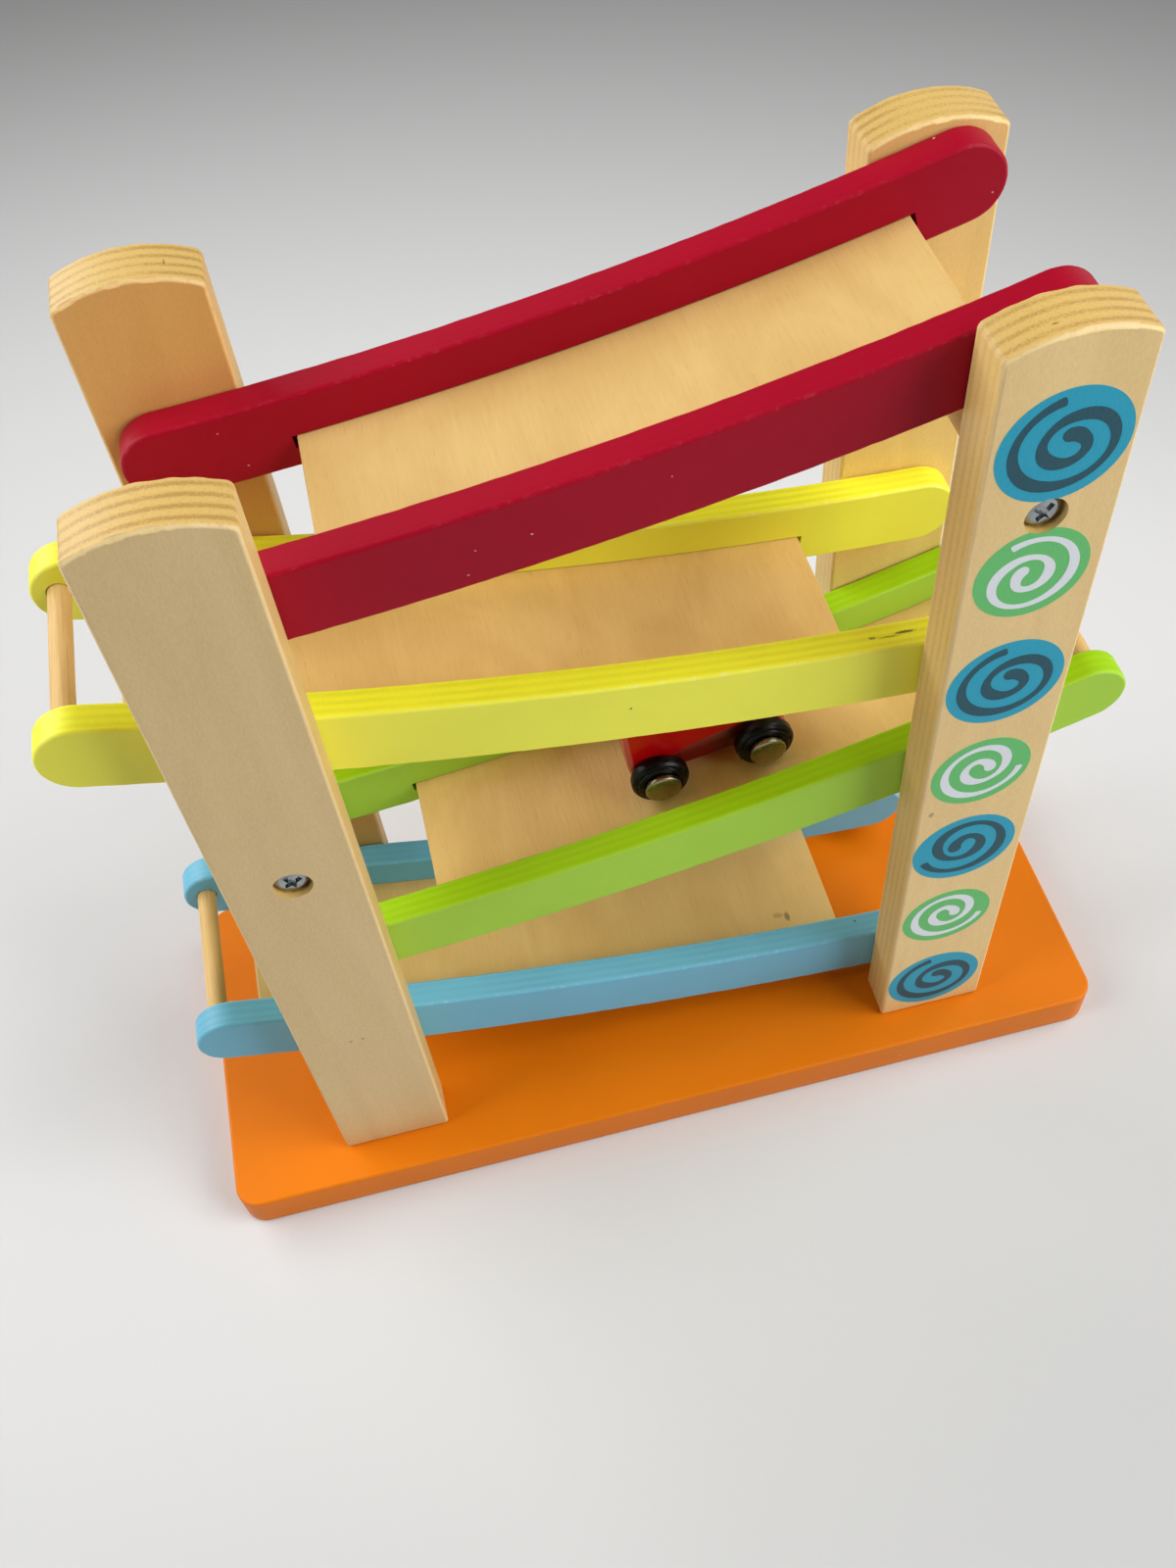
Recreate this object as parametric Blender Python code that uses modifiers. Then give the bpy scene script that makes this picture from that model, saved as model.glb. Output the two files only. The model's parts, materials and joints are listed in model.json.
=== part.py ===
"""Car ramp racer: a wooden toy with four alternating ramps and one rolling car.

Units are metres, with +Z up and +X along the base board. The front faces -Y.
The origin lies on the table, under the middle of the base board.
"""

from collections import namedtuple
import math

import bmesh
import bpy
from mathutils import Matrix, Vector

# Fits and finish shared by all the pieces
GAP = 0.0003
WELD = 0.00001
EDGE_EASE = 0.0009
SHARP_ANGLE = math.radians(38.0)
COPLANAR_ANGLE = math.radians(0.05)
CUT_PAST = 0.002

# Base board
BASE_LENGTH = 0.300
BASE_DEPTH = 0.1185
BASE_THICK = 0.0146
BASE_CORNER = 0.008
BASE_CORNER_STEPS = 4

# Posts
POST_X = 0.0939
POST_WIDTH = 0.0348
POST_THICK = 0.0145
POST_INNER_Y = 0.0325
POST_TOP = 0.297
POST_CROWN = 0.0044
POST_CORNER = 0.0022
POST_ARC_STEPS = 8
POST_CORNER_STEPS = 3
POST_MID_Y = POST_INNER_Y + POST_THICK / 2

# Ramps: a rail's top edge is an arc of RAMP_RADIUS, and the deck follows it
RAMP_RADIUS = 1.000
RAMP_STEPS = 12
RAIL_THICK = 0.009
RAIL_HEIGHT = 0.0207
RAIL_END_STEPS = 8
RAIL_OUTER_Y = POST_INNER_Y - GAP
RAIL_INNER_Y = RAIL_OUTER_Y - RAIL_THICK
RAIL_MID_Y = (RAIL_OUTER_Y + RAIL_INNER_Y) / 2
DECK_DROP = 0.0116
DECK_THICK = 0.003
GROOVE_DEPTH = 0.003
GROOVE_PAST_DECK = 0.0012
DECK_RADIUS = RAMP_RADIUS + DECK_DROP

# Each ramp: tilt at x = 0, height of its top edge there, its ends and its deck's ends
Ramp = namedtuple("Ramp", "name tilt_deg top low_end high_end deck_low deck_high has_stop")
RAMPS = (
    Ramp("red", 9.38, 0.2743, -0.1080, 0.1075, -0.0660, 0.0845, False),
    Ramp("yellow", -8.65, 0.2019, 0.1085, -0.1411, 0.0615, -0.1215, True),
    Ramp("green", 9.84, 0.1312, -0.1085, 0.1411, -0.0606, 0.1215, True),
    Ramp("blue", -9.35, 0.0557, 0.1075, -0.1431, 0.0690, -0.1240, True),
)

# Stop dowels across the high ends of the ramps
DOWEL_RADIUS = 0.003
DOWEL_SINK = 0.005
DOWEL_INSET = 0.0072
DOWEL_SIDES = 20

# Crossbars between the front and rear posts, and their screws
CROSSBAR_RADIUS = 0.0075
CROSSBAR_SIDES = 24
CROSSBAR_Z = {"left": 0.1723, "right": 0.2466}
COUNTERBORE_RADIUS = 0.0052
COUNTERBORE_DEPTH = 0.0031
COUNTERBORE_SIDES = 20

# Screws
SCREW_SIDES = 12
SHANK_RADIUS = 0.0020
SCREW_POINT = 0.005
PAN_RADIUS = 0.0047
PAN_THICK = 0.0022
PAN_SHOULDER = 0.0012
PAN_LENGTH = 0.032
FLAT_RADIUS = 0.0040
FLAT_RIM = 0.0003
FLAT_CONE = 0.0024
FLAT_LENGTH = 0.038
FLAT_SUNK = 0.0006
RECESS_WIDTH = 0.0016
PAN_RECESS = 0.0064
FLAT_RECESS = 0.0048
RECESS_DEPTH = 0.0013
BASE_SCREW_SPREAD = 0.009

# Car, in a frame that runs up the ramp (u), across it (v) and off its deck (h)
CAR_MID_X = 0.02665
CAR_V = 0.0034
CAR_HALF_WIDTH = 0.011
CAR_EASE = 0.0016
CAR_EASE_STEPS = 2
WHEELBASE = 0.0324
WHEEL_RADIUS = 0.0088
WHEEL_SIDES = 24
WHEEL_OFF_BODY = 0.0004
AXLE_RADIUS = 0.0015
AXLE_SIDES = 24
BORE_RADIUS = 0.0016
AXLE_REACH = 0.0062
CAP_RADIUS = 0.0054
CAP_EDGE = 0.0004
CAP_SIDES = 20
POCKET_DEPTH = 0.0020

# Side view of the car body: u from its middle, h above the deck
CAR_OUTLINE = (
    (-0.0232, 0.0062),
    (-0.0241, 0.0072),
    (-0.0242, 0.0120),
    (-0.0228, 0.0290),
    (-0.0222, 0.0316),
    (-0.0204, 0.0330),
    (-0.0178, 0.0334),
    (-0.0020, 0.0334),
    (0.0006, 0.0326),
    (0.0026, 0.0308),
    (0.0090, 0.0224),
    (0.0108, 0.0210),
    (0.0210, 0.0192),
    (0.0232, 0.0180),
    (0.0242, 0.0158),
    (0.0242, 0.0072),
    (0.0233, 0.0062),
)

# Pocket in each side of the car between its wheels
POCKET_OUTLINE = (
    (-0.0150, 0.0040),
    (0.0150, 0.0040),
    (0.0150, 0.0184),
    (0.0080, 0.0179),
    (0.0010, 0.0170),
    (-0.0070, 0.0156),
    (-0.0150, 0.0138),
)

# Half sections: radius, then distance out from the wheel's inner face
WHEEL_SECTION = (
    (BORE_RADIUS, 0.0),
    (0.0076, 0.0),
    (0.0085, 0.0005),
    (WHEEL_RADIUS, 0.0014),
    (WHEEL_RADIUS, 0.0027),
    (0.0084, 0.0037),
    (0.0077, 0.0042),
    (0.0071, 0.0041),
    (0.0069, 0.0046),
    (0.0064, 0.0049),
    (BORE_RADIUS, 0.0049),
)
CAP_SECTION = (
    (0.0, AXLE_REACH + GAP),
    (AXLE_RADIUS + GAP, AXLE_REACH + GAP),
    (AXLE_RADIUS + GAP, 0.0052),
    (CAP_RADIUS - CAP_EDGE, 0.0052),
    (CAP_RADIUS, 0.0056),
    (CAP_RADIUS, 0.0063),
    (CAP_RADIUS - CAP_EDGE, 0.0068),
    (CAP_RADIUS - 3 * CAP_EDGE, 0.0070),
    (0.0, 0.0071),
)

# Finishes: colour, roughness, metallic
FINISHES = {
    "orange_paint": ((0.88, 0.235, 0.012), 0.45, 0.0),
    "red_paint": ((0.42, 0.010, 0.018), 0.42, 0.0),
    "yellow_paint": ((0.93, 0.80, 0.020), 0.45, 0.0),
    "green_paint": ((0.31, 0.56, 0.018), 0.45, 0.0),
    "blue_paint": ((0.17, 0.50, 0.68), 0.45, 0.0),
    "post_wood": ((0.72, 0.51, 0.25), 0.5, 0.0),
    "deck_wood": ((0.76, 0.49, 0.18), 0.5, 0.0),
    "dowel_wood": ((0.74, 0.53, 0.26), 0.5, 0.0),
    "car_paint": ((0.40, 0.006, 0.008), 0.25, 0.0),
    "black_wheel": ((0.008, 0.008, 0.009), 0.4, 0.0),
    "zinc_steel": ((0.62, 0.62, 0.60), 0.35, 1.0),
    "cap_metal": ((0.72, 0.66, 0.50), 0.28, 1.0),
}

UPRIGHT = Matrix.Rotation(math.pi / 2, 4, 'X')
TO_FRONT = Matrix.Rotation(math.pi / 2, 4, 'X')
TO_REAR = Matrix.Rotation(-math.pi / 2, 4, 'X')
TO_BELOW = Matrix.Rotation(math.pi, 4, 'X')


def clear_scene():
    """Remove whatever the scene holds."""
    for obj in list(bpy.data.objects):
        bpy.data.objects.remove(obj, do_unlink=True)


def new_collection(name):
    """A collection linked to the scene."""
    collection = bpy.data.collections.new(name)
    bpy.context.scene.collection.children.link(collection)
    return collection


def new_material(name, colour, roughness, metallic):
    """A plain Principled material."""
    material = bpy.data.materials.new(name)
    material.use_nodes = True
    shader = material.node_tree.nodes["Principled BSDF"]
    shader.inputs["Base Color"].default_value = (*colour, 1.0)
    shader.inputs["Roughness"].default_value = roughness
    shader.inputs["Metallic"].default_value = metallic
    return material


def at(x, y, z):
    """A move to a place."""
    return Matrix.Translation((x, y, z))


class Builder:
    """Makes parts and cutters, each in its own collection."""

    def __init__(self):
        self.parts = new_collection("car_ramp_racer")
        self.cutters = new_collection("cutters")
        self.materials = {}
        for name, (colour, roughness, metallic) in FINISHES.items():
            self.materials[name] = new_material(name, colour, roughness, metallic)

    def place(self, name, mesh, matrix, finish):
        """Link a mesh as a part, or as a cutter when it has no finish."""
        obj = bpy.data.objects.new(name, mesh)
        if finish is None:
            self.cutters.objects.link(obj)
            obj.hide_render = True
            obj.display_type = 'WIRE'
        else:
            self.parts.objects.link(obj)
            mesh.materials.clear()
            mesh.materials.append(self.materials[finish])
        obj.matrix_world = matrix
        return obj

    def plate(self, name, outline, thickness, matrix, finish=None):
        """A flat outline with thickness, centred on its own plane."""
        curve = bpy.data.curves.new(name, 'CURVE')
        curve.dimensions = '2D'
        curve.fill_mode = 'BOTH'
        curve.extrude = thickness / 2
        spline = curve.splines.new('POLY')
        spline.points.add(len(outline) - 1)
        for point, (across, up) in zip(spline.points, outline):
            point.co = (across, up, 0.0, 1.0)
        spline.use_cyclic_u = True
        drawn = bpy.data.objects.new(name + "_outline", curve)
        self.cutters.objects.link(drawn)
        mesh = evaluated_mesh(drawn)
        bpy.data.objects.remove(drawn, do_unlink=True)
        weld_mesh(mesh)
        return self.place(name, mesh, matrix, finish)

    def rod(self, name, radius, length, sides, matrix, finish=None):
        """A round bar along its own Z axis, centred."""
        mesh = bpy.data.meshes.new(name)
        form = bmesh.new()
        bmesh.ops.create_cone(form, cap_ends=True, segments=sides, radius1=radius,
                              radius2=radius, depth=length)
        form.to_mesh(mesh)
        form.free()
        smooth_mesh(mesh)
        return self.place(name, mesh, matrix, finish)

    def turned(self, name, section, sides, matrix, finish=None, closed=False):
        """A half section of radius and height, spun about its own Z axis."""
        mesh = bpy.data.meshes.new(name)
        points = [(radius, 0.0, height) for radius, height in section]
        edges = [(i, i + 1) for i in range(len(points) - 1)]
        if closed:
            edges.append((len(points) - 1, 0))
        mesh.from_pydata(points, edges, [])
        drawn = bpy.data.objects.new(name + "_section", mesh)
        self.cutters.objects.link(drawn)
        spin = drawn.modifiers.new("spin", 'SCREW')
        spin.axis = 'Z'
        spin.angle = math.tau
        spin.steps = sides
        spin.render_steps = sides
        spin.use_merge_vertices = True
        spin.merge_threshold = WELD
        solid = evaluated_mesh(drawn)
        bpy.data.objects.remove(drawn, do_unlink=True)
        weld_mesh(solid)
        smooth_mesh(solid)
        return self.place(name, solid, matrix, finish)


def evaluated_mesh(obj):
    """The mesh that an object's curve or modifiers make."""
    bpy.context.view_layer.update()
    graph = bpy.context.evaluated_depsgraph_get()
    return bpy.data.meshes.new_from_object(obj.evaluated_get(graph))


def weld_mesh(mesh):
    """Join coincident points and flat faces, and turn the faces out."""
    form = bmesh.new()
    form.from_mesh(mesh)
    bmesh.ops.remove_doubles(form, verts=form.verts, dist=WELD)
    bmesh.ops.dissolve_limit(form, angle_limit=COPLANAR_ANGLE, verts=form.verts, edges=form.edges)
    bmesh.ops.recalc_face_normals(form, faces=form.faces)
    form.to_mesh(mesh)
    form.free()


def smooth_mesh(mesh):
    """Shade round faces smooth and keep sharp edges."""
    mesh.shade_smooth()
    mesh.set_sharp_from_angle(angle=SHARP_ANGLE)


def ease_edges(obj, width=EDGE_EASE, segments=1):
    """Break the sharp edges of a part."""
    bevel = obj.modifiers.new("ease", 'BEVEL')
    bevel.width = width
    bevel.segments = segments
    bevel.limit_method = 'ANGLE'
    bevel.angle_limit = SHARP_ANGLE


def cut(obj, cutter):
    """Take a cutter's shape out of a part."""
    boolean = obj.modifiers.new(cutter.name, 'BOOLEAN')
    boolean.operation = 'DIFFERENCE'
    boolean.solver = 'EXACT'
    boolean.object = cutter


def rounded_rectangle(length, depth, radius, steps):
    """Outline of a rectangle with rounded corners."""
    outline = []
    for corner in range(4):
        start = corner * math.pi / 2
        sign_x = 1 if corner in (0, 3) else -1
        sign_y = 1 if corner in (0, 1) else -1
        middle_x = sign_x * (length / 2 - radius)
        middle_y = sign_y * (depth / 2 - radius)
        for step in range(steps + 1):
            angle = start + step * math.pi / 2 / steps
            outline.append((middle_x + radius * math.cos(angle), middle_y + radius * math.sin(angle)))
    return outline


def post_outline():
    """Front view of a post about its own centre line: straight sides and an arched top."""
    half = POST_WIDTH / 2
    arch = half * half / (2 * POST_CROWN) + POST_CROWN / 2
    arch_z = POST_TOP - arch
    corner_x = half - POST_CORNER
    corner_up = math.sqrt((arch - POST_CORNER) ** 2 - corner_x ** 2)
    meet = math.atan2(corner_x, corner_up)
    right = []
    for step in range(POST_CORNER_STEPS):
        angle = step * (math.pi / 2 - meet) / POST_CORNER_STEPS
        right.append((corner_x + POST_CORNER * math.cos(angle),
                      arch_z + corner_up + POST_CORNER * math.sin(angle)))
    crown = []
    for step in range(POST_ARC_STEPS + 1):
        angle = meet * (1 - 2 * step / POST_ARC_STEPS)
        crown.append((arch * math.sin(angle), arch_z + arch * math.cos(angle)))
    left = [(-across, up) for across, up in reversed(right)]
    foot = BASE_THICK + GAP
    return [(-half, foot), (half, foot)] + right + crown + left


def ramp_centre(ramp):
    """Centre of the arc that a ramp follows, as x and z."""
    tilt = math.radians(ramp.tilt_deg)
    return -RAMP_RADIUS * math.sin(tilt), ramp.top + RAMP_RADIUS * math.cos(tilt)


def ramp_angle(ramp, x, radius):
    """Angle from straight down, at the ramp's centre, of the point at x on a radius."""
    return math.asin((x - ramp_centre(ramp)[0]) / radius)


def ramp_point(ramp, radius, angle):
    """Point on a ramp's plane at a radius and angle from its centre."""
    centre_x, centre_z = ramp_centre(ramp)
    return centre_x + radius * math.sin(angle), centre_z - radius * math.cos(angle)


def arc_points(ramp, radius, start, end, steps=RAMP_STEPS):
    """Points along an arc about the ramp's centre."""
    return [ramp_point(ramp, radius, start + (end - start) * i / steps) for i in range(steps + 1)]


def band_outline(ramp, inner, outer, left_x, right_x, past=0.0):
    """Outline of a strip between two radii with square ends."""
    start = ramp_angle(ramp, left_x, inner) - past / inner
    end = ramp_angle(ramp, right_x, inner) + past / inner
    return arc_points(ramp, inner, start, end) + arc_points(ramp, outer, end, start)


def rail_outline(ramp):
    """Outline of a rail: two arcs joined by round ends."""
    radius = RAIL_HEIGHT / 2
    middle = RAMP_RADIUS + radius
    left_x = min(ramp.low_end, ramp.high_end)
    right_x = max(ramp.low_end, ramp.high_end)
    start = ramp_angle(ramp, left_x, middle) + radius / middle
    end = ramp_angle(ramp, right_x, middle) - radius / middle
    top = arc_points(ramp, RAMP_RADIUS, start, end)
    bottom = arc_points(ramp, RAMP_RADIUS + RAIL_HEIGHT, end, start)
    return top + rail_end(ramp, middle, end, 1) + bottom + rail_end(ramp, middle, start, -1)


def rail_end(ramp, middle, angle, side):
    """Inner points of a rail's round end, from its top on the right or its bottom on the left."""
    centre = Vector(ramp_point(ramp, middle, angle))
    up = Vector((-math.sin(angle), math.cos(angle))) * side
    along = Vector((math.cos(angle), math.sin(angle))) * side
    points = []
    for step in range(1, RAIL_END_STEPS):
        turn = step * math.pi / RAIL_END_STEPS
        points.append(tuple(centre + (up * math.cos(turn) + along * math.sin(turn)) * RAIL_HEIGHT / 2))
    return points


def stop_place(ramp):
    """Middle of a ramp's stop dowel, as x and z."""
    middle = RAMP_RADIUS + RAIL_HEIGHT / 2
    inward = -DOWEL_INSET if ramp.high_end > 0 else DOWEL_INSET
    angle = ramp_angle(ramp, ramp.high_end, middle) + inward / middle
    return ramp_point(ramp, middle, angle)


def build_base(builder):
    """The base board."""
    outline = rounded_rectangle(BASE_LENGTH, BASE_DEPTH, BASE_CORNER, BASE_CORNER_STEPS)
    base = builder.plate("base_board", outline, BASE_THICK, at(0, 0, BASE_THICK / 2), "orange_paint")
    ease_edges(base)
    return base


def build_posts(builder):
    """The four posts, keyed by end and side."""
    posts = {}
    for end, x in (("left", -POST_X), ("right", POST_X)):
        for side, y in (("front", -POST_MID_Y), ("rear", POST_MID_Y)):
            post = builder.plate(f"{side}_{end}_post", post_outline(), POST_THICK,
                                 at(x, y, 0) @ UPRIGHT, "post_wood")
            ease_edges(post)
            posts[side, end] = post
    return posts


def screw_mesh(builder, name, section, span):
    """A screw along its own Z axis with a cross recess in its head."""
    screw = builder.turned(name, section, SCREW_SIDES, Matrix.Identity(4), "zinc_steel")
    top = max(height for _, height in section)
    depth = RECESS_DEPTH + CUT_PAST
    blades = []
    for turn in (0.0, math.pi / 2):
        half_span = span / 2
        half_width = RECESS_WIDTH / 2
        outline = [(-half_span, -half_width), (half_span, -half_width),
                   (half_span, half_width), (-half_span, half_width)]
        place = at(0, 0, top - RECESS_DEPTH + depth / 2) @ Matrix.Rotation(turn, 4, 'Z')
        blade = builder.plate(f"{name}_recess", outline, depth, place)
        cut(screw, blade)
        blades.append(blade)
    mesh = evaluated_mesh(screw)
    for used in [screw] + blades:
        bpy.data.objects.remove(used, do_unlink=True)
    smooth_mesh(mesh)
    return mesh


def build_base_screws(builder, base, posts):
    """Two countersunk screws up through the base into each post."""
    shank = SHANK_RADIUS
    mesh = screw_mesh(builder, "flat_screw", [
        (0.0, -FLAT_LENGTH), (shank, SCREW_POINT - FLAT_LENGTH), (shank, -FLAT_CONE),
        (FLAT_RADIUS, -FLAT_RIM), (FLAT_RADIUS, 0.0), (0.0, 0.0)], FLAT_RECESS)
    hole = shank + GAP
    sink = FLAT_RADIUS + GAP
    hole_section = [(0.0, -FLAT_LENGTH - GAP), (hole, -FLAT_LENGTH - GAP), (hole, -FLAT_CONE - GAP),
                    (sink, -FLAT_RIM - GAP), (sink, CUT_PAST), (0.0, CUT_PAST)]
    for (side, end), post in posts.items():
        middle = post.matrix_world.translation
        for label, shift in (("a", -BASE_SCREW_SPREAD), ("b", BASE_SCREW_SPREAD)):
            place = at(middle.x + shift, middle.y, FLAT_SUNK) @ TO_BELOW
            name = f"base_screw_{side}_{end}_{label}"
            builder.place(name, mesh.copy(), place, "zinc_steel")
            cutter = builder.turned(f"{name}_hole", hole_section, SCREW_SIDES, place)
            cut(base, cutter)
            cut(post, cutter)


def build_crossbars(builder, posts):
    """A round bar between the posts at each end, with a screw from each side."""
    shank = SHANK_RADIUS
    mesh = screw_mesh(builder, "pan_screw", [
        (0.0, -PAN_LENGTH), (shank, SCREW_POINT - PAN_LENGTH), (shank, 0.0), (PAN_RADIUS, 0.0),
        (PAN_RADIUS, PAN_SHOULDER), (PAN_RADIUS * 0.7, PAN_THICK), (0.0, PAN_THICK)],
        PAN_RECESS)
    hole = shank + GAP
    hole_section = [(0.0, -PAN_LENGTH - GAP), (hole, -PAN_LENGTH - GAP), (hole, -GAP),
                    (COUNTERBORE_RADIUS, -GAP), (COUNTERBORE_RADIUS, COUNTERBORE_DEPTH + CUT_PAST),
                    (0.0, COUNTERBORE_DEPTH + CUT_PAST)]
    length = 2 * (POST_INNER_Y - GAP)
    seat_y = POST_INNER_Y + POST_THICK - COUNTERBORE_DEPTH
    for end, z in CROSSBAR_Z.items():
        x = POST_X if end == "right" else -POST_X
        bar = builder.rod(f"{end}_crossbar", CROSSBAR_RADIUS, length, CROSSBAR_SIDES,
                          at(x, 0, z) @ UPRIGHT, "dowel_wood")
        for side, y, turn in (("front", -seat_y, TO_FRONT), ("rear", seat_y, TO_REAR)):
            name = f"crossbar_screw_{side}_{end}"
            place = at(x, y, z) @ turn
            builder.place(name, mesh.copy(), place, "zinc_steel")
            cutter = builder.turned(f"{name}_hole", hole_section, COUNTERBORE_SIDES, place)
            cut(posts[side, end], cutter)
            cut(bar, cutter)


def build_ramp(builder, ramp):
    """A ramp: two rails, the deck in their grooves and a stop dowel."""
    deck_left = min(ramp.deck_low, ramp.deck_high)
    deck_right = max(ramp.deck_low, ramp.deck_high)
    bottom = DECK_RADIUS + DECK_THICK
    deck_width = 2 * (RAIL_INNER_Y + GROOVE_DEPTH - GAP)
    builder.plate(f"{ramp.name}_deck", band_outline(ramp, DECK_RADIUS, bottom, deck_left, deck_right),
                  deck_width, UPRIGHT, "deck_wood")
    groove = builder.plate(
        f"{ramp.name}_groove",
        band_outline(ramp, DECK_RADIUS - GAP, bottom + GAP, deck_left, deck_right, GROOVE_PAST_DECK),
        2 * (RAIL_INNER_Y + GROOVE_DEPTH), UPRIGHT)
    stop_hole = None
    if ramp.has_stop:
        x, z = stop_place(ramp)
        reach = RAIL_INNER_Y + DOWEL_SINK
        builder.rod(f"{ramp.name}_stop_dowel", DOWEL_RADIUS, 2 * (reach - GAP), DOWEL_SIDES,
                    at(x, 0, z) @ UPRIGHT, "dowel_wood")
        stop_hole = builder.rod(f"{ramp.name}_stop_hole", DOWEL_RADIUS + GAP, 2 * reach, DOWEL_SIDES,
                                at(x, 0, z) @ UPRIGHT)
    for side, y in (("front", -RAIL_MID_Y), ("rear", RAIL_MID_Y)):
        rail = builder.plate(f"{ramp.name}_{side}_rail", rail_outline(ramp), RAIL_THICK,
                             at(0, y, 0) @ UPRIGHT, f"{ramp.name}_paint")
        ease_edges(rail)
        cut(rail, groove)
        if stop_hole:
            cut(rail, stop_hole)


def hold(parent, child):
    """Parent a piece and leave it where it stands."""
    child.parent = parent
    child.matrix_parent_inverse = parent.matrix_world.inverted()


def build_car(builder, ramp):
    """The car on its ramp. Its empty lies on the axis that it rolls about."""
    axle_radius = DECK_RADIUS - WHEEL_RADIUS - GAP
    centre_x, centre_z = ramp_centre(ramp)
    angle = ramp_angle(ramp, CAR_MID_X, axle_radius)
    path = bpy.data.objects.new("car_path_axis", None)
    builder.parts.objects.link(path)
    path.matrix_world = at(centre_x, CAR_V, centre_z) @ Matrix.Rotation(-angle, 4, 'Y')
    bpy.context.view_layer.update()
    frame = path.matrix_world @ at(0, 0, -DECK_RADIUS)

    body = builder.plate("car_body", CAR_OUTLINE, 2 * CAR_HALF_WIDTH, frame @ UPRIGHT, "car_paint")
    ease_edges(body, CAR_EASE, CAR_EASE_STEPS)
    hold(path, body)
    pocket_v = CAR_HALF_WIDTH - POCKET_DEPTH / 2 + CUT_PAST / 2
    for side, v in (("front", -pocket_v), ("rear", pocket_v)):
        pocket = builder.plate(f"car_{side}_pocket", POCKET_OUTLINE, POCKET_DEPTH + CUT_PAST,
                               frame @ at(0, v, 0) @ UPRIGHT)
        cut(body, pocket)

    axle_half = CAR_HALF_WIDTH + WHEEL_OFF_BODY + AXLE_REACH
    axle_h = DECK_RADIUS - math.sqrt(axle_radius ** 2 - (WHEELBASE / 2) ** 2)
    wheel_v = CAR_HALF_WIDTH + WHEEL_OFF_BODY
    for end, u in (("low", -WHEELBASE / 2), ("high", WHEELBASE / 2)):
        axle = builder.rod(f"car_{end}_axle", AXLE_RADIUS, 2 * axle_half, AXLE_SIDES,
                           frame @ at(u, 0, axle_h) @ UPRIGHT, "zinc_steel")
        hold(path, axle)
        bore = builder.rod(f"car_{end}_axle_hole", AXLE_RADIUS + GAP, 2 * axle_half, AXLE_SIDES,
                           frame @ at(u, 0, axle_h) @ UPRIGHT)
        cut(body, bore)
        for side, v, turn in (("front", -wheel_v, TO_FRONT), ("rear", wheel_v, TO_REAR)):
            place = frame @ at(u, v, axle_h) @ turn
            wheel = builder.turned(f"car_{side}_{end}_wheel", WHEEL_SECTION, WHEEL_SIDES, place,
                                   "black_wheel", closed=True)
            hold(path, wheel)
            cap = builder.turned(f"car_{side}_{end}_cap", CAP_SECTION, CAP_SIDES, place, "cap_metal")
            hold(path, cap)


def main():
    """Build the whole toy."""
    clear_scene()
    builder = Builder()
    base = build_base(builder)
    posts = build_posts(builder)
    build_base_screws(builder, base, posts)
    build_crossbars(builder, posts)
    for ramp in RAMPS:
        build_ramp(builder, ramp)
        if ramp.name == "green":
            build_car(builder, ramp)


main()
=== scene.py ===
"""Looks of a wooden car ramp racer, laid out as an add-on and run as a script.

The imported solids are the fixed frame. Each operator shapes one group of pieces in the same
places, gives them their finish and lets them ride on their bodies. Units are metres, with
+Z up and the front facing -Y.
"""

from collections import namedtuple
import json
import math

import bmesh
import bpy
from bpy.props import FloatProperty, FloatVectorProperty, IntProperty, PointerProperty
from mathutils import Matrix, Vector, noise


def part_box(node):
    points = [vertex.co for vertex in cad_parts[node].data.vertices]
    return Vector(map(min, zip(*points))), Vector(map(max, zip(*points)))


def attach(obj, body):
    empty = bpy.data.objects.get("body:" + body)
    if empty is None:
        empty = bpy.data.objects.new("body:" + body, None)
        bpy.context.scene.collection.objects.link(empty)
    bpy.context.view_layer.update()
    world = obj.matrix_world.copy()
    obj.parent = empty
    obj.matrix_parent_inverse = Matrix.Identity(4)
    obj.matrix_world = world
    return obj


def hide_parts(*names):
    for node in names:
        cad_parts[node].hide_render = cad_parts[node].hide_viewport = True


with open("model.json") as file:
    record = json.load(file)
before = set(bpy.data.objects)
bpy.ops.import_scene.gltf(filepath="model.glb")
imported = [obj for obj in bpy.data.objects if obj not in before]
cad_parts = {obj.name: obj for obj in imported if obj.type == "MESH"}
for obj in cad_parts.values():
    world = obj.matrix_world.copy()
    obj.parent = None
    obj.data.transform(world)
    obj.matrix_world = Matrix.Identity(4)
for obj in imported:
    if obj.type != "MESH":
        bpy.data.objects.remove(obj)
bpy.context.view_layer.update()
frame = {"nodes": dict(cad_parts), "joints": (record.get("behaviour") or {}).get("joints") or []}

bl_info = {
    "name": "Car Ramp Racer",
    "version": (1, 0, 0),
    "blender": (4, 5, 0),
    "location": "View3D > Sidebar > Racer",
    "description": "Shapes and finishes of a wooden ramp racer over its packed solids",
    "category": "Add Mesh",
}

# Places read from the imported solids
BASE_LOW, BASE_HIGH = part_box("base_board")
POST_LOW, POST_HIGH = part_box("rear_right_post")
RAIL_LOW, RAIL_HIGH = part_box("red_rear_rail")
DECK_LOW, DECK_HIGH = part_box("red_deck")
BAR_LOW, BAR_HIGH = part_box("right_crossbar")
STOP_LOW, STOP_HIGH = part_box("green_stop_dowel")
POST_X = (POST_LOW.x + POST_HIGH.x) / 2
JOINTS = {joint["name"]: joint for joint in frame["joints"]}

# Room round each piece in its seat, and how far a cutter runs past what it cuts
SEAT_GAP = 0.0003
CUT_PAST = 0.002
# Angle from which an edge is sharp, and the distance within which points are one
SHARP_ANGLE = math.radians(38.0)
MERGE_WITHIN = 0.000005
# Rounding along the edges of the thin pieces, and the thickness of one layer of a deck
DECK_EASE = 0.0003
DOWEL_EASE = 0.0004
BAR_EASE = 0.0006
DECK_LAYER = 0.001
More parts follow.
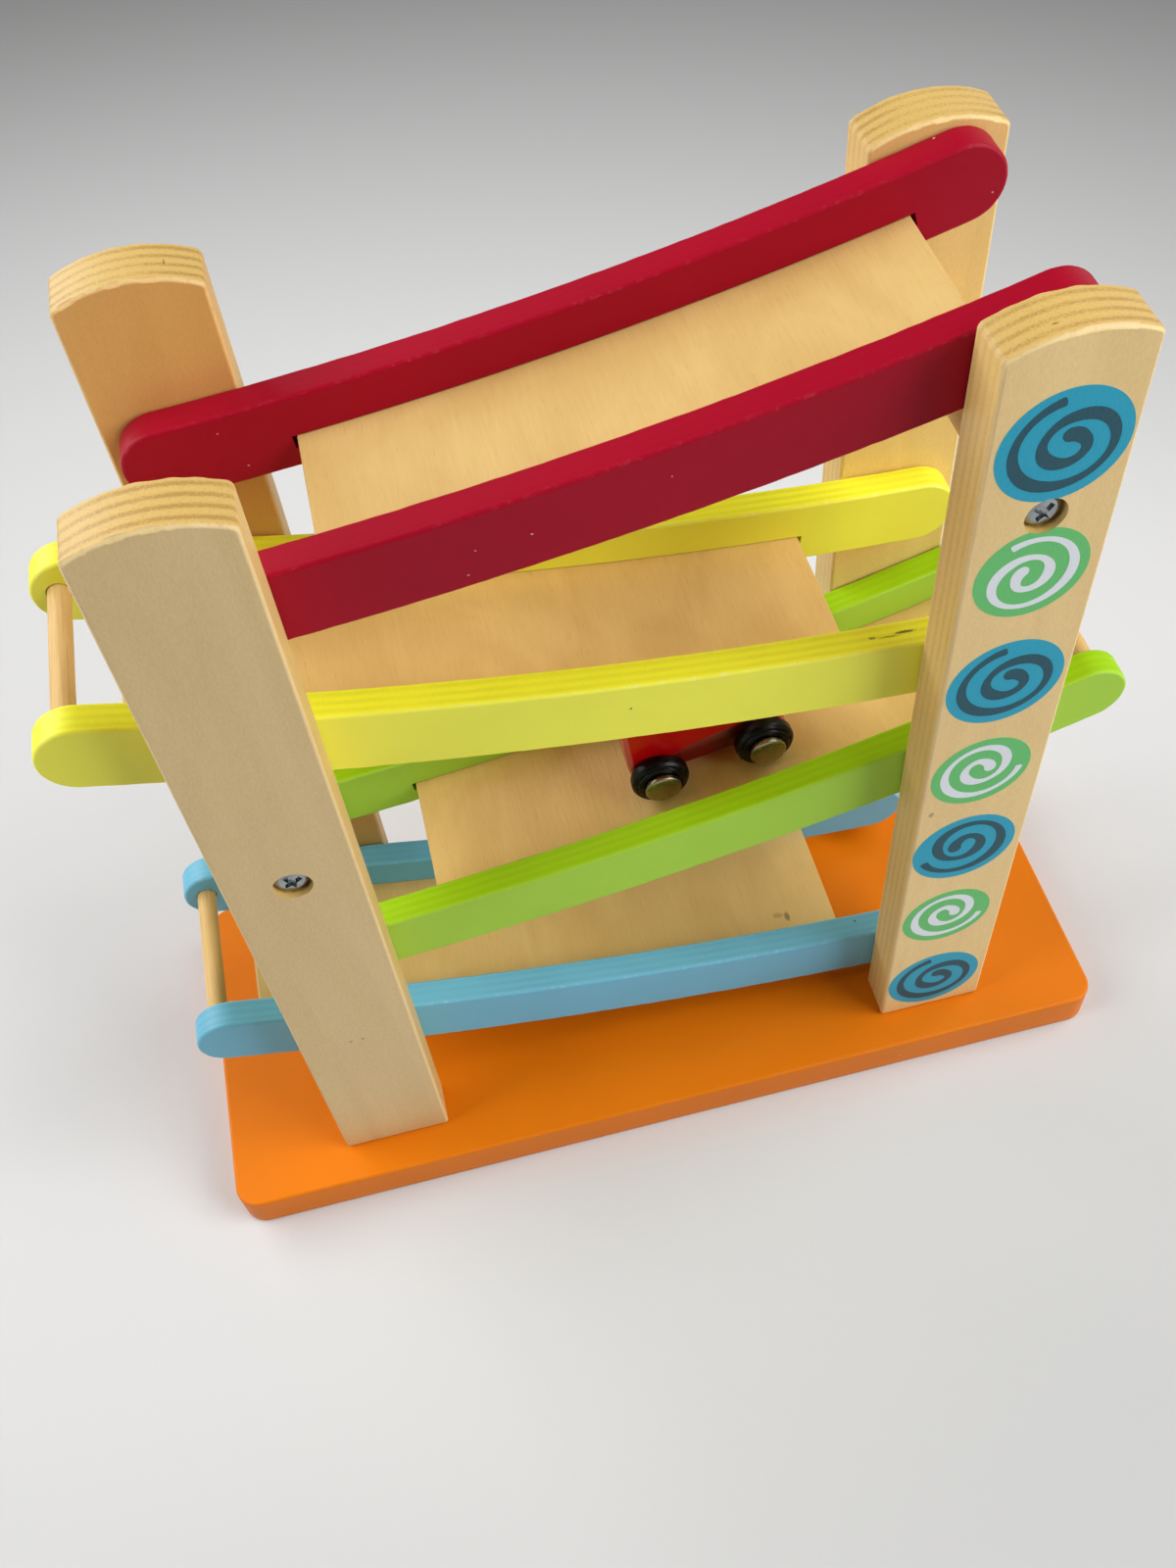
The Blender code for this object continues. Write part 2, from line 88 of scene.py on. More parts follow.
# Share of a crossbar's half length at which its screw holes begin
PILOT_FROM = 0.34

# Uneven hand sanding along the edges
Sanding = namedtuple("Sanding", "depth pitch")
POST_SANDING = Sanding(0.00030, 0.0032)
RAIL_SANDING = Sanding(0.00012, 0.0030)

# How finely the round forms are made
CORNER_STEPS = 12
ARC_STEPS = 72
END_STEPS = 28
EASE_STEPS = 3
CAR_EASE_STEPS = 5
ROD_SIDES = 56
TURNED_SIDES = 72
PRINT_SIDES = 96
SPIRAL_STEPS = 172
# Most of an outline's side that the rounding of one corner may take
MOST_OF_SIDE = 0.49

SIDES = (("front", -1), ("rear", 1))
ENDS = (("left", -1), ("right", 1))
CAR_ENDS = ("low", "high")
CrossbarScrew = namedtuple("CrossbarScrew", "node side end middle facing")
BaseScrew = namedtuple("BaseScrew", "node side end head")

# Each ramp: tilt at x = 0, height of its top edge there, its ends and its deck's ends
Ramp = namedtuple("Ramp", "name tilt_deg top low_end high_end deck_low deck_high has_stop")
RAMPS = (
    Ramp("red", 9.38, 0.2743, -0.1080, 0.1075, -0.0660, 0.0845, False),
    Ramp("yellow", -8.65, 0.2019, 0.1085, -0.1411, 0.0615, -0.1215, True),
    Ramp("green", 9.84, 0.1312, -0.1085, 0.1411, -0.0606, 0.1215, True),
    Ramp("blue", -9.35, 0.0557, 0.1075, -0.1431, 0.0690, -0.1240, True),
)

# How each paint lies on its plywood: how far the layers show, how far the edges are rubbed, how
# much it shines and how far a painted sheen pales it on the faces
Coat = namedtuple("Coat", "show wear shine bloom")
COATS = {
    "red": Coat(0.10, 0.06, 0.15, 0.0),
    "yellow": Coat(0.17, 0.55, 0.40, 0.05),
    "green": Coat(0.13, 0.08, 0.18, 0.06),
    "blue": Coat(0.14, 0.30, 0.40, 0.0),
    "orange": Coat(0.04, 0.10, 0.18, 0.0),
}
# How much more the saw marks on an edge show than its layers
SAW_SHOW = 4.0
# Painted light and shade: how much paler or darker each deck's veneer is made for the light that falls on it
DECK_PAINTED_LIGHT = {"red": 0.93, "yellow": 1.11, "green": 1.12, "blue": 0.89}

# Spirals printed down the front right post: place beside its middle, height, colour and the
# angle of the outer end
Spiral = namedtuple("Spiral", "aside z colour end_deg")
SPIRALS = (
    Spiral(0.0003, 0.2671, "blue", 100.0),
    Spiral(-0.0003, 0.2284, "green", 122.0),
    Spiral(-0.0004, 0.1888, "blue", 98.0),
    Spiral(-0.0013, 0.1510, "green", 352.0),
    Spiral(-0.0010, 0.1133, "blue", 201.0),
    Spiral(-0.0015, 0.0747, "green", 346.0),
    Spiral(-0.0008, 0.0337, "blue", 102.0),
)
# Middle of the brushed line: degrees swept inward and distance out as a share of the disc
SPIRAL_LINE = (
    (0.0, 0.80), (50.0, 0.755), (155.0, 0.725), (240.0, 0.76), (285.0, 0.69), (345.0, 0.485),
    (405.0, 0.36), (490.0, 0.31), (597.0, 0.358), (645.0, 0.26), (688.0, 0.19),
)
# The brush: mean width as a share of the disc, added press at the inner end, and the lean of the
# brush with the angle at which it is widest
BRUSH_WIDTH = {"blue": 0.165, "green": 0.145}
BRUSH_PRESS = 0.05
BRUSH_LEAN = 0.045
BRUSH_ANGLE = 135.0
# Degrees either side of a point that give the line's direction there
BRUSH_SIGHT = 1.0
# How far the ends of the line reach, as a share of its half width
ROUND_TIP = 1.0
BLUNT_TIP = 0.4
# How deep a print reaches into the post, so that no gap shows
PRINT_ROOT = 0.0001

# Small marks of use: where each lies, its size along x, y and z, and how strongly it shows
Mark = namedtuple("Mark", "place size show")
DARK_MARKS = {
    "front_left_ply": (
        Mark((-0.0961, -0.0470, 0.0860), (0.0009, 0.002, 0.0006), 0.45),
        Mark((-0.0925, -0.0470, 0.0861), (0.0006, 0.002, 0.0010), 0.45),
    ),
    "front_right_ply": (
        Mark((0.0803, -0.0470, 0.1347), (0.0009, 0.002, 0.0015), 0.50),
        Mark((0.0884, -0.0427, 0.2966), (0.0009, 0.0004, 0.002), 0.60),
    ),
    "rear_left_ply": (
        Mark((-0.0845, 0.0390, 0.2958), (0.0003, 0.0014, 0.002), 0.55),
    ),
    "blue_deck_veneer": (
        Mark((0.0526, -0.0127, 0.0368), (0.0013, 0.0022, 0.004), 0.62),
        Mark((0.0496, -0.0117, 0.0372), (0.0022, 0.0014, 0.004), 0.32),
    ),
    "blue_ply": (
        Mark((0.0717, -0.0261, 0.0465), (0.0007, 0.0006, 0.002), 0.70),
    ),
    "yellow_ply": (
        Mark((-0.0007, -0.0322, 0.1936), (0.0005, 0.002, 0.0005), 0.80),
        Mark((0.0645, -0.0278, 0.1942), (0.0012, 0.0005, 0.002), 0.70),
        Mark((0.0690, -0.0282, 0.1938), (0.0036, 0.0004, 0.002), 0.55),
        Mark((0.0735, -0.0274, 0.1935), (0.0036, 0.0006, 0.002), 0.85),
    ),
}
PALE_MARKS = {
    "red_ply": (
        Mark((-0.0196, -0.0322, 0.2604), (0.0004, 0.002, 0.0003), 0.60),
        Mark((-0.0323, -0.0322, 0.2591), (0.0003, 0.002, 0.0003), 0.60),
        Mark((-0.0347, -0.0322, 0.2523), (0.0003, 0.002, 0.0003), 0.50),
        Mark((0.0119, -0.0322, 0.2682), (0.0003, 0.002, 0.0003), 0.50),
        Mark((-0.0836, 0.0232, 0.2594), (0.0003, 0.002, 0.0003), 0.50),
        Mark((-0.0790, 0.0232, 0.2484), (0.0003, 0.002, 0.0003), 0.50),
        Mark((0.1043, 0.0232, 0.2819), (0.0004, 0.002, 0.0003), 0.50),
        Mark((0.0914, 0.0307, 0.2938), (0.0004, 0.0004, 0.002), 0.50),
    ),
}

# Car body from the side: distance up the ramp, height above the deck and corner rounding
CAR_CORNERS = (
    (-0.0242, 0.0062, 0.0036),
    (0.0242, 0.0062, 0.0036),
    (0.0242, 0.0186, 0.0045),
    (0.00995, 0.02115, 0.0040),
    (0.0006, 0.0334, 0.0062),
    (-0.0223, 0.0334, 0.0042),
    (-0.0242, 0.0140, 0.0200),
)
POCKET_CORNERS = (
    (-0.0150, 0.0040, 0.0),
    (0.0150, 0.0040, 0.0),
    (0.0150, 0.0184, 0.0),
    (0.0010, 0.0170, 0.0300),
    (-0.0150, 0.0138, 0.0),
)

# Half sections of turned pieces: radius, height along the axis and corner rounding
WHEEL_SECTION = (
    (0.0016, 0.0, 0.0),
    (0.0078, 0.0, 0.0006),
    (0.0088, 0.0006, 0.0010),
    (0.0088, 0.0031, 0.0012),
    (0.0079, 0.0042, 0.0008),
    (0.0072, 0.0041, 0.0002),
    (0.0070, 0.0047, 0.0003),
    (0.0066, 0.0049, 0.0003),
    (0.0016, 0.0049, 0.0),
)
CAP_SECTION = (
    (0.0, 0.0065, 0.0),
    (0.0018, 0.0065, 0.0),
    (0.0018, 0.0052, 0.0),
    (0.0054, 0.0052, 0.0003),
    (0.0054, 0.0066, 0.0006),
    (0.0045, 0.00705, 0.0006),
    (0.0, 0.0071, 0.0),
)
SHANK_RADIUS = 0.0020
PILOT_RADIUS = SHANK_RADIUS + SEAT_GAP
PAN_SECTION = (
    (0.0, -0.0320, 0.0),
    (SHANK_RADIUS, -0.0270, 0.0),
    (SHANK_RADIUS, 0.0, 0.0),
    (0.0047, 0.0, 0.0002),
    (0.0047, 0.0009, 0.0008),
    (0.0034, 0.0018, 0.0022),
    (0.0, 0.0022, 0.0),
)
FLAT_SECTION = (
    (0.0, -0.0380, 0.0),
    (SHANK_RADIUS, -0.0330, 0.0),
    (SHANK_RADIUS, -0.0024, 0.0),
    (0.0040, -0.0003, 0.0),
    (0.0040, 0.0, 0.0001),
    (0.0, 0.0, 0.0),
)
FLAT_HOLE_SECTION = (
    (0.0, -0.0383, 0.0),
    (PILOT_RADIUS, -0.0383, 0.0),
    (PILOT_RADIUS, -0.0027, 0.0),
    (0.0043, -0.0006, 0.0),
    (0.0043, CUT_PAST, 0.0),
    (0.0, CUT_PAST, 0.0),
)
# Cross recesses: span in each kind of head, width of a blade, depth, and taper towards the bottom
PAN_RECESS = 0.0064
FLAT_RECESS = 0.0048
RECESS_WIDTH = 0.0016
RECESS_DEPTH = 0.0013
RECESS_TAPER = 0.55
# Turn of each crossbar screw's recess
SCREW_TURNS = (0.5, 0.9, 0.2, 1.2)
# Height of the axles above the deck
AXLE_HEIGHT = 0.00923

# Woods: streaks and slow clouds in a metre along x, y and z, and how far streaks, clouds and pores show
Wood = namedtuple("Wood", "fibre figure streak cloud pore pore_tone")
POST_WOOD = Wood((2100.0, 2100.0, 700.0), (70.0, 70.0, 11.0), 0.24, 0.30, 0.16, (0.30, 0.17, 0.06))
DECK_WOOD = Wood((1050.0, 70.0, 1050.0), (42.0, 20.0, 42.0), 0.12, 0.50, 0.18, (0.33, 0.15, 0.04))
DOWEL_WOOD = Wood((1300.0, 45.0, 1300.0), (160.0, 20.0, 160.0), 0.55, 0.30, 0.35, (0.32, 0.18, 0.06))
# What is left of a post's red, green and blue in its deep grain
POST_DEEP_SHARE = (0.80, 0.73, 0.64)
PORES_PER_STREAK = 2.7

# Tones that are mixed into the finishes; the car's pocket tone is painted shade, and its rubbed tone is also
# a painted highlight
WHITE = Vector((1.0, 1.0, 1.0))
BLACK = (0.0, 0.0, 0.0)
SAWN_DARK = (0.02, 0.01, 0.0)
BARE_WOOD = (1.0, 0.96, 0.84)
DUST = (0.85, 0.82, 0.76)
DIRT = (0.05, 0.03, 0.012)
CHIP = (0.86, 0.74, 0.70)
GLUE = (0.30, 0.16, 0.05)
DOWEL_RUBBED = (0.80, 0.60, 0.28)
INK_THIN = (0.45, 0.33, 0.18)
CAR_DEEP = (0.05, 0.0, 0.002)
CAR_POCKET_SHADE = (0.02, 0.0, 0.001)
CAR_WEAR_AND_HIGHLIGHT = (0.90, 0.28, 0.24)
HANDLED = (0.16, 0.15, 0.14)
TARNISH = (0.16, 0.15, 0.13)
PAPER_GREY = (0.5, 0.5, 0.5)
# Roughness of the platings where they are least rubbed
ZINC_POLISH = 0.07
NICKEL_POLISH = 0.24
# Depths below the top of a post over which its rubbed edges grow paler
CROWN_FROM = 0.012
CROWN_FULL = 0.006
# Depths inside the car's sides over which painted shade darkens the faces in its pockets
POCKET_SHADE_STEP = (0.0008, 0.0014)
# Pitch of the wheels' turning lines
TURNING_PITCH = 0.00034
# Depth of the relief on wood and paint, and on wheels and metal
RELIEF = 0.0002
FINE_RELIEF = 0.00005

# The floor: its half width and its drop below the base
FLOOR_HALF = 4.0
FLOOR_DROP = 0.0002
# Where the floor's painted shade changes: over y in front of the toy and behind it, and by the distance from
# a point for the painted shade behind it and for its run into the room
FRONT_STEP = (-0.22, 0.0)
BEHIND_STEP = (0.0, 0.25)
SHADE_FROM = (-0.05, 0.0, 0.0)
SHADE_STEP = (0.15, 1.02)
RUN_OUT_FROM = (0.05, 0.32, 0.0)
RUN_OUT_STEP = (0.75, 1.75)
# Height of a direction, from level to straight up as 0 to 1, over which the walls turn into the ceiling
CEILING_STEP = (0.15, 0.50)
# Distance from which the camera sees
NEAREST_SEEN = 0.01

# Node trees: the wear layer of a mesh, kinds of sockets, sockets of a colour mix, and how nodes are laid out
WORN_EDGE = "worn_edge"
SOCKET_KINDS = {'VECTOR': 'NodeSocketVector', 'VALUE': 'NodeSocketFloat', 'RGBA': 'NodeSocketColor'}
MIX_INPUTS = (0, 6, 7)
MIX_OUTPUT = 2
NODES_IN_ROW = 10
NODE_STEP = (190.0, 260.0)


def metres(label, about, default):
    """A size that a user can change."""
    return FloatProperty(name=label, description=about, default=default, min=0.0, unit='LENGTH', precision=5)


def tint(label, about, default):
    """A colour that a user can change."""
    return FloatVectorProperty(name=label, description=about, default=default, min=0.0, max=1.0,
                               size=3, subtype='COLOR')


def position(label, about, default):
    """A point that a user can move."""
    return FloatVectorProperty(name=label, description=about, default=default, size=3, subtype='TRANSLATION')


def watts(label, about, default):
    """The power of a lamp that a user can change."""
    return FloatProperty(name=label, description=about, default=default, min=0.0, subtype='POWER')


class RacerSizes(bpy.types.PropertyGroup):
    """Sizes of the boards, rods and prints."""

    edge_ease: metres("Edge ease", "Rounding along the edges of the boards", 0.0010)
    base_corner: metres("Base corner", "Radius of the base board's corners in plan", 0.008)
    post_width: metres("Post width", "Width of a post", POST_HIGH.x - POST_LOW.x)
    post_crown: metres("Post crown", "Height of the arch at the top of a post", 0.0044)
    post_corner: metres("Post corner", "Radius where a post's arch meets its sides", 0.0022)
    ramp_radius: metres("Ramp radius", "Radius of the arc along the top of a rail", 1.0)
    rail_height: metres("Rail height", "Height of a rail across its arc", 0.0207)
    deck_drop: metres("Deck drop", "How far the deck lies below the top of its rails", 0.0116)
    deck_thick: metres("Deck thickness", "Thickness of a deck", 0.003)
    groove_past: metres("Groove past deck", "How far a rail's groove runs past its deck", 0.0012)
    dowel_radius: metres("Dowel radius", "Radius of the stop dowels", (STOP_HIGH.x - STOP_LOW.x) / 2)
    dowel_inset: metres("Dowel inset", "Distance of a stop dowel from the tip of its rail", 0.0072)
    bar_radius: metres("Crossbar radius", "Radius of the crossbars", (BAR_HIGH.x - BAR_LOW.x) / 2)
    bore_radius: metres("Counterbore radius", "Radius of the screws' counterbores", 0.0052)
    bore_depth: metres("Counterbore depth", "Depth of the screws' counterbores", 0.0031)
    blue_print: metres("Blue print radius", "Radius of a blue printed disc", 0.0157)
    green_print: metres("Green print radius", "Radius of a green printed disc", 0.0143)
    print_proud: metres("Print thickness", "How far a print stands off the post", 0.00005)
    car_width: metres("Car width", "Width of the car body", 0.022)
    car_ease: metres("Car ease", "Rounding along the edges of the car body", 0.0022)
    car_pocket: metres("Car pocket", "Depth of the pocket in each side of the car", 0.0020)
    post_ply: metres("Post ply", "Thickness of one layer of a post's plywood", 0.00161)
    rail_ply: metres("Rail ply", "Thickness of one layer of a rail's plywood", 0.00129)


class RacerColours(bpy.types.PropertyGroup):
    """Colours of the paints, woods, metals and prints."""

    orange_paint: tint("Orange paint", "Paint of the base board", (0.80, 0.198, 0.001))
    red_paint: tint("Red paint", "Paint of the top ramp", (0.38, 0.001, 0.018))
    yellow_paint: tint("Yellow paint", "Paint of the second ramp", (0.95, 0.94, 0.028))
    green_paint: tint("Green paint", "Paint of the third ramp", (0.385, 0.70, 0.006))
    blue_paint: tint("Blue paint", "Paint of the bottom ramp", (0.16, 0.51, 0.70))
    # Face colours of the posts: each is partly its veneer's own tone and partly painted light, made paler or
    # darker for the light that falls on that post
    front_left_wood: tint("Front left post", "Face veneer of the front left post", (0.77, 0.57, 0.28))
    front_right_wood: tint("Front right post", "Face veneer of the front right post", (0.90, 0.66, 0.30))
    rear_left_wood: tint("Rear left post", "Face veneer of the rear left post", (0.80, 0.44, 0.13))
    rear_right_wood: tint("Rear right post", "Face veneer of the rear right post", (0.92, 0.64, 0.225))
    ply_light: tint("Light ply", "Long grain layers on a plywood edge", (0.68, 0.455, 0.132))
    ply_dark: tint("Dark ply", "End grain layers on a plywood edge", (0.45, 0.25, 0.055))
    ply_rubbed: tint("Rubbed ply", "Rubbed arris along the tops of the posts", (0.95, 0.77, 0.44))
    deck_face: tint("Deck", "Clear-coated deck veneer", (0.82, 0.56, 0.205))
    deck_deep: tint("Deck grain", "Darker grain of the decks", (0.65, 0.40, 0.118))
    dowel_face: tint("Dowel", "Wood of the dowels and crossbars", (0.80, 0.54, 0.22))
    dowel_deep: tint("Dowel grain", "Darker grain of the dowels", (0.62, 0.38, 0.125))
    car_paint: tint("Car paint", "Gloss paint of the car body", (0.62, 0.002, 0.004))
    wheel_black: tint("Wheel", "Black of the wheels", (0.002, 0.002, 0.0025))
    # Painted reflection: the zinc is darkened for the dark surroundings it mirrors, and the nickel is
    # darkened and browned for the shaded deck it mirrors
    zinc: tint("Zinc", "Plating of the screws and axles", (0.38, 0.41, 0.43))
    nickel: tint("Nickel", "Plating of the hub caps", (0.36, 0.31, 0.19))
    print_blue: tint("Blue print", "Disc of the blue prints", (0.012, 0.37, 0.55))
    print_teal: tint("Teal print", "Spiral on the blue prints", (0.009, 0.083, 0.123))
    print_green: tint("Green print", "Disc of the green prints", (0.14, 0.57, 0.18))
    print_white: tint("White print", "Spiral on the green prints", (0.82, 0.86, 0.92))


class RacerStage(bpy.types.PropertyGroup):
    """The floor, the lamps and the camera."""

    floor_near: tint("Floor", "Floor round the toy", (0.70, 0.70, 0.70))
    # Painted shade on the floor: a darker tone in front of the toy and a much darker one far behind it
    floor_front: tint("Front floor", "Floor in front of the toy", (0.57, 0.57, 0.57))
    floor_far: tint("Far floor", "Floor far behind the toy", (0.17, 0.17, 0.168))
    room_colour: tint("Room", "Pale walls of the room", (0.75, 0.75, 0.75))
    ceiling_colour: tint("Ceiling", "Dim ceiling of the room", (0.08, 0.08, 0.08))
    room_light: FloatProperty(name="Room light", description="Strength of the even light from all round",
                              default=0.02, min=0.0)
    key_size: metres("Key size", "Width of the key lamp", 1.0)
    key_power: watts("Key lamp", "Power of the low lamp at the front right", 16.5)
    key_place: position("Key place", "Where the key lamp hangs", (1.064, -0.745, 0.870))
    right_size: metres("Right size", "Width of the right lamp", 1.0)
    right_power: watts("Right lamp", "Power of the high lamp on the right", 11.0)
    right_place: position("Right place", "Where the right lamp hangs", (0.923, 0.0, 1.302))
    back_size: metres("Back size", "Width of the back lamp", 1.0)
    back_power: watts("Back lamp", "Power of the low lamp behind the left", 12.4)
    back_place: position("Back place", "Where the back lamp hangs", (-0.936, 0.936, 0.824))
    left_size: metres("Left size", "Width of the left lamp", 0.8)
    left_power: watts("Left lamp", "Power of the lamp on the left", 9.0)
    left_place: position("Left place", "Where the left lamp hangs", (-0.919, 0.0, 0.891))
    camera_place: position("Camera place", "Where the camera stands", (-0.04634, -0.26801, 0.49121))
    camera_aim: position("Camera aim", "Point that the camera looks at", (-0.0094, 0.0, 0.12185))
    camera_roll: FloatProperty(name="Camera roll", description="Turn of the camera about its own view",
                               default=math.radians(6.705), subtype='ANGLE')
    camera_lens: FloatProperty(name="Lens", description="Focal length in millimetres", default=46.28,
                               min=1.0, subtype='DISTANCE_CAMERA')
    sensor_width: IntProperty(name="Sensor", description="Sensor width in millimetres", default=36, min=1)


# Outlines


def rounded(corners, closed=True):
    """Points along an outline whose corners are rounded by their own radii."""
    points = []
    count = len(corners)
    for index, (across, up, radius) in enumerate(corners):
        here = Vector((across, up))
        at_tip = not closed and index in (0, count - 1)
        if radius == 0.0 or at_tip:
            points.append(here)
            continue
        back = Vector(corners[index - 1][:2]) - here
        ahead = Vector(corners[(index + 1) % count][:2]) - here
        turn = math.pi - back.angle(ahead)
        most = MOST_OF_SIDE * min(back.length, ahead.length)
        reach = min(radius * math.tan(turn / 2), most)
        start = here + back.normalized() * reach
        end = here + ahead.normalized() * reach
        for step in range(CORNER_STEPS + 1):
            share = step / CORNER_STEPS
            first = start.lerp(here, share)
            points.append(first.lerp(here.lerp(end, share), share))
    return points


def arc(x, y, radius, start, end, steps):
    """Points of an arc about x and y, with both its ends."""
    turns = [start + (end - start) * step / steps for step in range(steps + 1)]
    return [Vector((x + radius * math.cos(turn), y + radius * math.sin(turn))) for turn in turns]


def circle(x, z, radius, sides=ROD_SIDES):
    """Outline of a round piece."""
    return arc(x, z, radius, 0.0, math.tau, sides)[:-1]


def half_turn(middle, arm, forward, steps):
    """Inner points of a round end, from one side of a middle to the other."""
    turns = [step * math.pi / steps for step in range(1, steps)]
    return [middle + arm * math.cos(turn) + forward * math.sin(turn) for turn in turns]


def smooth_through(points, at):
    """Height at a place of the smooth curve that runs through points."""
    last = len(points) - 1
    index = 0
    while index < last - 1 and at > points[index + 1][0]:
        index += 1

    def slope(number):
        before, after = points[max(number - 1, 0)], points[min(number + 1, last)]
        return (after[1] - before[1]) / (after[0] - before[0])

    (start, low), (end, high) = points[index], points[index + 1]
    span = end - start
    share = (at - start) / span
    rise = share * share * (3.0 - 2.0 * share)
    leave = share * (1.0 - share) ** 2 * slope(index)
    arrive = share * share * (share - 1.0) * slope(index + 1)
    return low + (high - low) * rise + span * (leave + arrive)


def rounded_rectangle(low, high, radius):
    """Outline of a board with rounded corners in plan."""
    corners = []
    middles = ((high.x - radius, high.y - radius), (low.x + radius, high.y - radius),
               (low.x + radius, low.y + radius), (high.x - radius, low.y + radius))
    for number, (x, y) in enumerate(middles):
        start = number * math.pi / 2
        corners += arc(x, y, radius, start, start + math.pi / 2, CORNER_STEPS)
    return corners


def post_outline(sizes, x):
    """Front view of a post at x: straight sides and an arched top with rounded corners."""
    half = sizes.post_width / 2
    crown = half * half / (2 * sizes.post_crown) + sizes.post_crown / 2
    crown_z = POST_HIGH.z - crown
    corner_x = half - sizes.post_corner
    corner_up = math.sqrt((crown - sizes.post_corner) ** 2 - corner_x ** 2)
    meet = math.atan2(corner_up, corner_x)
    right = arc(corner_x, crown_z + corner_up, sizes.post_corner, 0.0, meet, CORNER_STEPS)[:-1]
    top = arc(0.0, crown_z, crown, meet, math.pi - meet, ARC_STEPS)
    left = [Vector((-point.x, point.y)) for point in reversed(right)]
    foot = [Vector((-half, POST_LOW.z)), Vector((half, POST_LOW.z))]
    return [point + Vector((x, 0.0)) for point in foot + right + top + left]


class Track:
    """Side view of one ramp, which follows an arc about a centre above it."""

    def __init__(self, sizes, ramp):
        tilt = math.radians(ramp.tilt_deg)
        self.sizes = sizes
        self.ramp = ramp
        self.centre = Vector((-sizes.ramp_radius * math.sin(tilt),
                              ramp.top + sizes.ramp_radius * math.cos(tilt)))
        self.middle = sizes.ramp_radius + sizes.rail_height / 2
        self.deck_top = sizes.ramp_radius + sizes.deck_drop

    def angle(self, x, radius):
        """Angle from straight down of the point at x on a radius."""
        return math.asin((x - self.centre.x) / radius)

    def point(self, radius, angle):
        """Point at a radius and an angle from straight down."""
        return self.centre + Vector((radius * math.sin(angle), -radius * math.cos(angle)))

    def arc(self, radius, start, end):
        """Points along an arc between two angles from straight down."""
        return [self.point(radius, start + (end - start) * step / ARC_STEPS) for step in range(ARC_STEPS + 1)]

    def strip(self, inner, outer, past=0.0):
        """Outline of a strip along the deck between two radii, with square ends."""
        left_x, right_x = sorted((self.ramp.deck_low, self.ramp.deck_high))
        start = self.angle(left_x, inner) - past / inner
        end = self.angle(right_x, inner) + past / inner
        return self.arc(inner, start, end) + self.arc(outer, end, start)

    def rail(self):
        """Outline of a rail: two arcs joined by full round ends."""
        radius = self.sizes.rail_height / 2
        left_x, right_x = sorted((self.ramp.low_end, self.ramp.high_end))
        start = self.angle(left_x, self.middle) + radius / self.middle
        end = self.angle(right_x, self.middle) - radius / self.middle
        top = self.arc(self.middle - radius, start, end)
        bottom = self.arc(self.middle + radius, end, start)
        return top + self.rail_end(end, radius) + bottom + self.rail_end(start, -radius)

    def rail_end(self, angle, reach):
        """Inner points of a round end, from the top on the right or the bottom on the left."""
        up = Vector((-math.sin(angle), math.cos(angle))) * reach
        along = Vector((math.cos(angle), math.sin(angle))) * reach
        return half_turn(self.point(self.middle, angle), up, along, END_STEPS)

    def stop(self):
        """Middle of the stop dowel, as x and z."""
        inward = math.copysign(self.sizes.dowel_inset, -self.ramp.high_end)
        return self.point(self.middle, self.angle(self.ramp.high_end, self.middle) + inward / self.middle)


# Solid forms


def new_form():
    """An empty mesh form whose points can say how exposed to wear they are."""
    form = bmesh.new()
    form.verts.layers.float.new(WORN_EDGE)
    return form


def board(outline, near, far, lying=False):
    """A closed board: an outline with thickness along y, or along z if it lies flat."""
    form = new_form()
    if lying:
        ring = [form.verts.new((point.x, point.y, near)) for point in outline]
        shift = Vector((0.0, 0.0, far - near))
    else:
        ring = [form.verts.new((point.x, near, point.y)) for point in outline]
        shift = Vector((0.0, far - near, 0.0))
    face = form.faces.new(ring)
    grown = bmesh.ops.extrude_face_region(form, geom=[face])
    moved = [part for part in grown["geom"] if isinstance(part, bmesh.types.BMVert)]
    bmesh.ops.translate(form, verts=moved, vec=shift)
    bmesh.ops.recalc_face_normals(form, faces=form.faces)
    return form


def rod(centre, radius, near, far, sides=ROD_SIDES):
    """A round bar along y about a centre given as x and z."""
    return board(circle(centre.x, centre.y, radius, sides), near, far)


def turned(section, sides=TURNED_SIDES, closed=False):
    """A half section spun about the z axis."""
    form = new_form()
    ring = [form.verts.new((point.x, 0.0, point.y)) for point in rounded(section, closed)]
    edges = [form.edges.new(pair) for pair in zip(ring, ring[1:])]
    if closed:
        edges.append(form.edges.new((ring[-1], ring[0])))
    bmesh.ops.spin(form, geom=ring + edges, axis=(0.0, 0.0, 1.0), cent=(0.0, 0.0, 0.0),
                   angle=math.tau, steps=sides, use_merge=True)
    bmesh.ops.remove_doubles(form, verts=form.verts, dist=MERGE_WITHIN)
    bmesh.ops.recalc_face_normals(form, faces=form.faces)
    return form


def ease(form, width, steps=EASE_STEPS):
    """Round the sharp edges of a form and mark the rounding as exposed to wear."""
    sharp = [edge for edge in form.edges if edge.calc_face_angle(0.0) > SHARP_ANGLE]
    made = bmesh.ops.bevel(form, geom=sharp, offset=width, segments=steps, profile=0.5, affect='EDGES')
    rounding = set(made["faces"])
    worn = form.verts.layers.float[WORN_EDGE]
    for vert in form.verts:
        vert[worn] = float(all(face in rounding for face in vert.link_faces))
    return form


def roughen(form, sanding, lowest=-math.inf):
    """Make the rounding above a height uneven, as sanding by hand leaves it."""
    worn = form.verts.layers.float[WORN_EDGE]
    form.normal_update()
    for vert in form.verts:
        if vert[worn] > 0.0 and vert.co.z > lowest:
            vert.co += vert.normal * sanding.depth * (noise.noise(vert.co / sanding.pitch) - 0.5)
    return form


